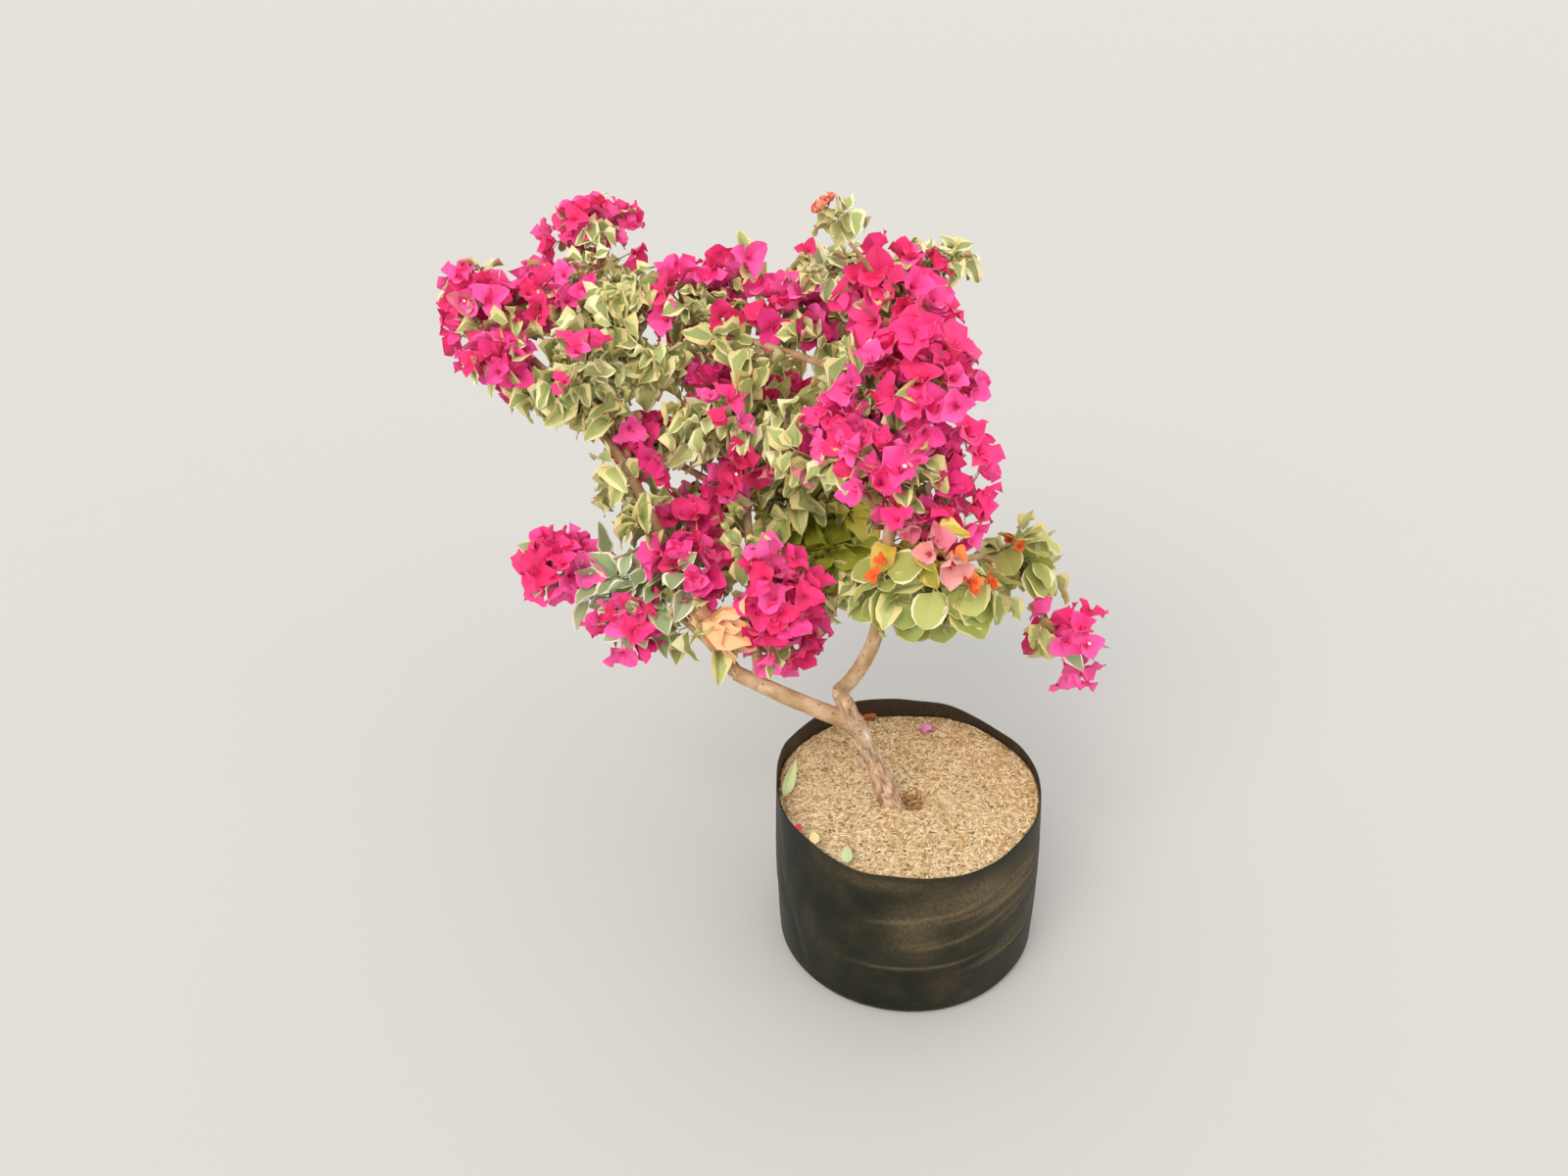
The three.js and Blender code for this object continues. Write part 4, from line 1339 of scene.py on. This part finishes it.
    def dress(self, rng, line, outward, habit):
        """Sets leaves along a twig, and flowers or a tuft of leaves at its tip."""
        run = float(np.linalg.norm(np.diff(line, axis=0), axis=1).sum())
        along, side, over = frames_along(line)
        kind = rng.choice(habit["kinds"])
        if kind == "plain" and rng.random() < EDGED_AMONG_PLAIN:
            kind = "edged"
        tones = (rng.randrange(len(GREENS[kind])), rng.randrange(len(PALES[kind])))
        flowering = rng.random() >= habit["leafy"]
        reach = max(BARE_SHARE * run, run - LEAFY_RUN * MM)
        turn = rng.uniform(0, 360)
        tuft = 0 if flowering else rng.choice(TUFTS)
        places = []
        while reach < LAST_LEAF * run:
            places.append(reach / run)
            reach += habit["gap"] * MM * rng.uniform(*GAP_PLAY)
        for share in places + [1] * tuft:
            at = share * TWIG_STEPS
            step = min(TWIG_STEPS - 1, int(at))
            place = np.array([np.interp(at, range(TWIG_STEPS + 1), line[:, axis]) for axis in range(3)])
            turn += LEAF_TURN + rng.gauss(0, TURN_PLAY)
            angle = math.radians(turn)
            out = math.cos(angle) * side[step] + math.sin(angle) * over[step]
            grow = 0.4 * along[step] + 0.85 * out + 0.4 * outward
            self.leaf(rng, place, grow, outward, habit, kind, tones)
        if flowering:
            length = self.sizes.bract_length * habit["bract"]
            axis = unit(0.5 * outward + 0.5 * UP + 0.3 * along[-1])
            self.cyme(rng, line[-1], axis, habit["cyme"], length)
            if rng.random() < SECOND_CYME and run > SECOND_CYME_RUN * MM:
                spoke = unit(side[3] * rng.choice((-1, 1)) + 0.7 * UP + 0.5 * outward)
                tip = line[4] + rng.uniform(12, 26) * MM * spoke
                self.twigs.append((np.array([line[4], tip]), np.array([0.8, 0.7]) * MM, 0))
                self.cyme(rng, tip, spoke, rng.choice((1, 2)), length)

    def leaf(self, rng, place, grow, outward, habit, kind, tones):
        """One leaf: it leans out and hangs, with its upper face to the light."""
        hang = habit["hang"] * rng.uniform(*LEAF_HANGS)
        grow = unit(grow) + np.array([rng.gauss(0, 0.26), rng.gauss(0, 0.26), -hang])
        facing = 0.8 * UP + 0.7 * outward + np.array([rng.gauss(0, 0.5), rng.gauss(0, 0.5), 0])
        size = habit["length"] * MM * self.sizes.leaf_scale * rng.uniform(*LEAF_SIZES)
        self.leaves.append((place, grow, facing, size, kind, tones, rng.randrange(100)))

    def cyme(self, rng, tip, axis, count, length, kind=None):
        """A few flowers on short stalks at a tip, splayed out from each other."""
        axis = unit(axis + 0.3 * np.array([rng.gauss(0, 1) for _ in range(3)]))
        side = unit(np.cross(axis, [0.3, 0.9, 0.2]))
        over = np.cross(axis, side)
        share = length / self.sizes.bract_length
        for n in range(count):
            angle = 2 * math.pi * (n + rng.uniform(-0.2, 0.2)) / count
            spoke = math.cos(angle) * side + math.sin(angle) * over
            spread = 0.0 if count == 1 else share * rng.uniform(0.7, 1.2)
            base = tip + (CYME_WIDTH * spread * spoke + share * rng.uniform(*STALKS) * axis) * MM
            self.twigs.append((np.array([tip, base]), np.array([STALK_RADIUS] * 2) * MM, 0))
            noisy = 0.22 * np.array([rng.gauss(0, 1) for _ in range(3)])
            heading = unit(axis + 0.7 * min(1, spread) * spoke + noisy)
            size = length * rng.uniform(*BRACT_SIZES)
            tint = kind or rng.choices(list(TINT_SHARES), list(TINT_SHARES.values()))[0]
            tone = rng.randrange(len(BRACTS[tint]))
            self.flowers.append((base, heading, spoke + 0.3 * over, size, tint, tone, rng.randrange(100)))


class BushSizes(bpy.types.PropertyGroup):
    """The sizes and counts that a user may change"""

    leaf_scale: bpy.props.FloatProperty(
        name="Leaf scale", description="Size of the leaves against their usual size",
        default=1.0, min=0.5, max=1.5,
    )
    bract_length: bpy.props.FloatProperty(
        name="Bract length", description="Length of one papery bract", default=0.0325, unit="LENGTH"
    )
    hull_length: bpy.props.FloatProperty(
        name="Hull length", description="Length of one rice hull", default=0.0102, unit="LENGTH"
    )
    hull_count: bpy.props.IntProperty(
        name="Hull count", description="How many rice hulls lie on the mulch", default=16000, min=0, max=16600
    )
    furrow_depth: bpy.props.FloatProperty(
        name="Furrow depth", description="Depth of the furrows in the old bark", default=0.0011, unit="LENGTH"
    )
    crease_count: bpy.props.IntProperty(
        name="Creases", description="How many creases are pressed into the bag", default=58, min=0, max=90
    )


class BushColours(bpy.types.PropertyGroup):
    """The colours of the stage that a user may change"""

    floor: bpy.props.FloatVectorProperty(
        name="Floor", description="Colour of the plain floor", subtype="COLOR", default=linear("#c6c4c0")
    )
    sky: bpy.props.FloatVectorProperty(
        name="Sky", description="Colour of the even light all round", subtype="COLOR",
        default=linear("#eef1f4"),
    )
    lamp: bpy.props.FloatVectorProperty(
        name="Lamps", description="Colour of the soft lamps", subtype="COLOR", default=linear("#fff6ea")
    )


@functools.cache
def grown_crown():
    """Everything that grows on the boughs, worked out once."""
    crown = Crown(bpy.context.scene.bush_sizes)
    for name in sorted(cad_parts):
        if name.startswith(("flowers_", "leaves_")):
            crown.mass(name)
    for name in SPRIGS:
        crown.sprigs(name)
    for each in MORE_FLOWERS:
        crown.more_flowers(*each)
    return crown


def is_left(place):
    """Whether a place is in the left part of the crown, which is a piece of its own."""
    return place[0] < LEFT_PART_EDGE


def finish_halves(kind, heaps, finishes, stem):
    """Shows the left and the right part of what grows, each for the masses on its side."""
    masses = [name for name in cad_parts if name.startswith(stem)]
    for left, side in ((True, "left"), (False, "right")):
        nodes = [name for name in masses if is_left(sum(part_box(name), Vector()) / 2) == left]
        name = f"{kind}_{side}_part"
        finish_piece(name, heaps[left].mesh(name), finishes, nodes)


class BUSH_OT_twigs(bpy.types.Operator):
    """Grows the stems, twigs and flower stalks"""

    bl_idname = "bush.twigs"
    bl_label = "Twigs"

    def execute(self, context):
        heap = Heap()
        tubes = {1: straight_tube(STALK_SIDES, 1), TWIG_STEPS: straight_tube(TWIG_SIDES, TWIG_STEPS)}
        for line, radii, tone in grown_crown().twigs:
            tube = tubes[len(line) - 1]
            heap.add(tube, bent(tube, line, radii), [tone])
        # Young bougainvillea wood, still green to brown: a soft dull skin
        finish_piece("twigs", heap.mesh("twigs"), tissues("young_wood_grown", TWIG_BARKS, 0.7))
        return {"FINISHED"}


class BUSH_OT_leaves(bpy.types.Operator):
    """Grows the leaves, most of them with a pale margin"""

    bl_idname = "bush.leaves"
    bl_label = "Leaves"

    def execute(self, context):
        moulds = self.moulds()
        # Fresh leaves: a waxy skin with a soft broad gloss, pale where the margin has no green
        finishes = []
        first_green, first_pale = {}, {}
        for kind in GREENS:
            first_green[kind] = len(finishes)
            finishes += tissues(f"leaf_green_{kind}", GREENS[kind], 0.5)
            first_pale[kind] = len(finishes)
            finishes += tissues(f"leaf_margin_{kind}", PALES[kind], 0.52)
        heaps = {True: Heap(), False: Heap()}
        for place, grow, facing, size, kind, (green, pale), pick in grown_crown().leaves:
            mould = moulds[kind][pick % len(moulds[kind])]
            tones = [first_green[kind] + green, first_pale[kind] + pale]
            heaps[is_left(place)].add(mould, stood(mould, place, grow, facing, size), tones)
        finish_halves("leaves", heaps, finishes, "leaves_")
        return {"FINISHED"}

    def moulds(self):
        """The moulds of each kind of leaf."""
        rng = random.Random("leaves")
        return {
            kind: [
                blade_mould(
                    rng, cut, 0.5 * width * rng.uniform(*LEAF_WIDTHS), rng.uniform(*fold),
                    rng.uniform(*droop), wave, margin,
                )
                for _ in range(count)
            ]
            for kind, (count, width, fold, droop, wave, margin, cut) in LEAF_KINDS.items()
        }


class BUSH_OT_bracts(bpy.types.Operator):
    """Grows the flowers: three papery bracts round three slender tubes"""

    bl_idname = "bush.bracts"
    bl_label = "Bracts"

    def execute(self, context):
        rng = random.Random("flowers")
        moulds = [flower_mould(rng, rng.uniform(28, 62), 0) for _ in range(11)]
        starred = [flower_mould(rng, rng.uniform(40, 60), 1) for _ in range(2)]
        furled = [flower_mould(rng, 20, 0, 0.3) for _ in range(2)]
        # Bougainvillea bracts, thin as tissue paper: no gloss, a soft bloom on the edge
        finishes, first = [], {}
        for kind, tones in BRACTS.items():
            first[kind] = len(finishes)
            finishes += tissues(f"bract_papery_{kind}", tones, 0.62, 0.15)
        tube = len(finishes)
        # A flower's tubes have a fine down that dulls them, and its star is smooth and nearly white
        finishes += tissues("flower_tube_downy", TUBES, 0.6) + tissues("flower_star_fresh", [STAR], 0.5)
        heaps = {True: Heap(), False: Heap()}
        for base, axis, spoke, size, kind, tone, pick in grown_crown().flowers:
            choice = furled if kind in DROOP else starred if pick < STARRED else moulds
            mould = choice[pick % len(choice)]
            side = unit(np.cross(axis, spoke))
            corners = base + size * (mould.corners @ np.array([side, np.cross(axis, side), axis]))
            pale_tube = kind in PALE_TUBED
            heaps[is_left(base)].add(mould, corners, [first[kind] + tone, tube + pale_tube, tube + 2])
        finish_halves("bracts", heaps, finishes, "flowers_")
        return {"FINISHED"}


# The camera: where it stands in metres, its downward slope and roll in degrees, and its lens
CAMERA_PLACE = (-0.145, -1.245, 1.25)
CAMERA_SLOPE = 30.5
CAMERA_ROLL = 2
CAMERA_LENS = 29.25
CAMERA_SENSOR = 36
CAMERA_REACH = 200
FLOOR_REACH = 40
# Each lamp's place in metres, from which it shines on the crown, its spread in degrees and its power
LAMPS = {
    "key": ((-1.6, -1.9, 3.0), 40, 1.5),
    "fill": ((2.0, -2.2, 1.6), 70, 0.6),
    "back": ((0.6, 2.6, 2.6), 70, 0.4),
}
LAMP_AIM = (-0.15, 0.15, 0.4)


class BUSH_OT_stage(bpy.types.Operator):
    """Sets up the plain floor, the soft light and the camera"""

    bl_idname = "bush.stage"
    bl_label = "Stage"

    def execute(self, context):
        colours = context.scene.bush_colours
        self.floor(colours.floor)
        self.sky(context.scene, colours.sky)
        for name, (place, spread, power) in LAMPS.items():
            self.lamp(name, place, spread, power, colours.lamp)
        self.camera(context.scene)
        context.scene.view_settings.view_transform = "Standard"
        return {"FINISHED"}

    def floor(self, colour):
        shape = bmesh.new()
        bmesh.ops.create_grid(shape, x_segments=1, y_segments=1, size=FLOOR_REACH)
        floor = shown("floor", smooth_mesh("floor", shape))
        # A floor under matt paint: one pale tone and no gloss
        material, tree = new_material("painted_floor_matt")
        surface(tree, {"Base Color": (*colour, 1), "Roughness": 0.9})
        floor.data.materials.append(material)
        floor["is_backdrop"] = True

    def sky(self, scene, colour):
        scene.world = bpy.data.worlds.new("studio")
        scene.world.use_nodes = True
        light = scene.world.node_tree.nodes["Background"]
        light.inputs["Color"].default_value = (*colour, 1)
        light.inputs["Strength"].default_value = 1.0

    def lamp(self, name, place, spread, power, colour):
        """A lamp as far off as the sun, as wide as its spread in degrees, so its light is as
        soft as a big studio screen's and the floor is even."""
        lamp = bpy.data.lights.new(name, "SUN")
        lamp.angle = math.radians(spread)
        lamp.energy = power
        lamp.color = colour
        holder = shown(name, lamp)
        aim = Vector(LAMP_AIM) - Vector(place)
        holder.matrix_world = Matrix.Translation(place) @ aim.to_track_quat("-Z", "Y").to_matrix().to_4x4()

    def camera(self, scene):
        camera = bpy.data.cameras.new("camera")
        camera.lens = CAMERA_LENS
        camera.sensor_width = CAMERA_SENSOR
        camera.sensor_fit = "HORIZONTAL"
        camera.clip_end = CAMERA_REACH
        holder = shown("camera", camera)
        slope, roll = math.radians(CAMERA_SLOPE), math.radians(CAMERA_ROLL)
        level = Vector((1, 0, 0))
        upward = Vector((0, math.sin(slope), math.cos(slope)))
        right = math.cos(roll) * level - math.sin(roll) * upward
        top = math.sin(roll) * level + math.cos(roll) * upward
        turned = Matrix((right, top, right.cross(top))).transposed().to_4x4()
        holder.matrix_world = Matrix.Translation(CAMERA_PLACE) @ turned
        scene.camera = holder


OPERATORS = [
    BUSH_OT_stage,
    BUSH_OT_nursery_bag,
    BUSH_OT_mulch,
    BUSH_OT_trunk_and_boughs,
    BUSH_OT_twigs,
    BUSH_OT_leaves,
    BUSH_OT_bracts,
]


class BUSH_PT_panel(bpy.types.Panel):
    """The bush's pieces, sizes and colours, in the sidebar"""

    bl_idname = "BUSH_PT_panel"
    bl_label = "Potted bougainvillea"
    bl_space_type = "VIEW_3D"
    bl_region_type = "UI"
    bl_category = "Bush"

    def draw(self, context):
        for group in (context.scene.bush_sizes, context.scene.bush_colours):
            for name in group.__annotations__:
                self.layout.prop(group, name)
        for operator in OPERATORS:
            self.layout.operator(operator.bl_idname)


CLASSES = [BushSizes, BushColours, *OPERATORS, BUSH_PT_panel]


def register():
    for each in CLASSES:
        bpy.utils.register_class(each)
    bpy.types.Scene.bush_sizes = bpy.props.PointerProperty(type=BushSizes)
    bpy.types.Scene.bush_colours = bpy.props.PointerProperty(type=BushColours)


def unregister():
    del bpy.types.Scene.bush_sizes
    del bpy.types.Scene.bush_colours
    for each in reversed(CLASSES):
        bpy.utils.unregister_class(each)


def main():
    register()
    for operator in OPERATORS:
        group, name = operator.bl_idname.split(".")
        getattr(getattr(bpy.ops, group), name)()
    boxes = {"cad": CAD_BOX, "visual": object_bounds()}
    {name: [list(corner) for corner in box] for name, box in boxes.items()}


if __name__ == "__main__":
    main()
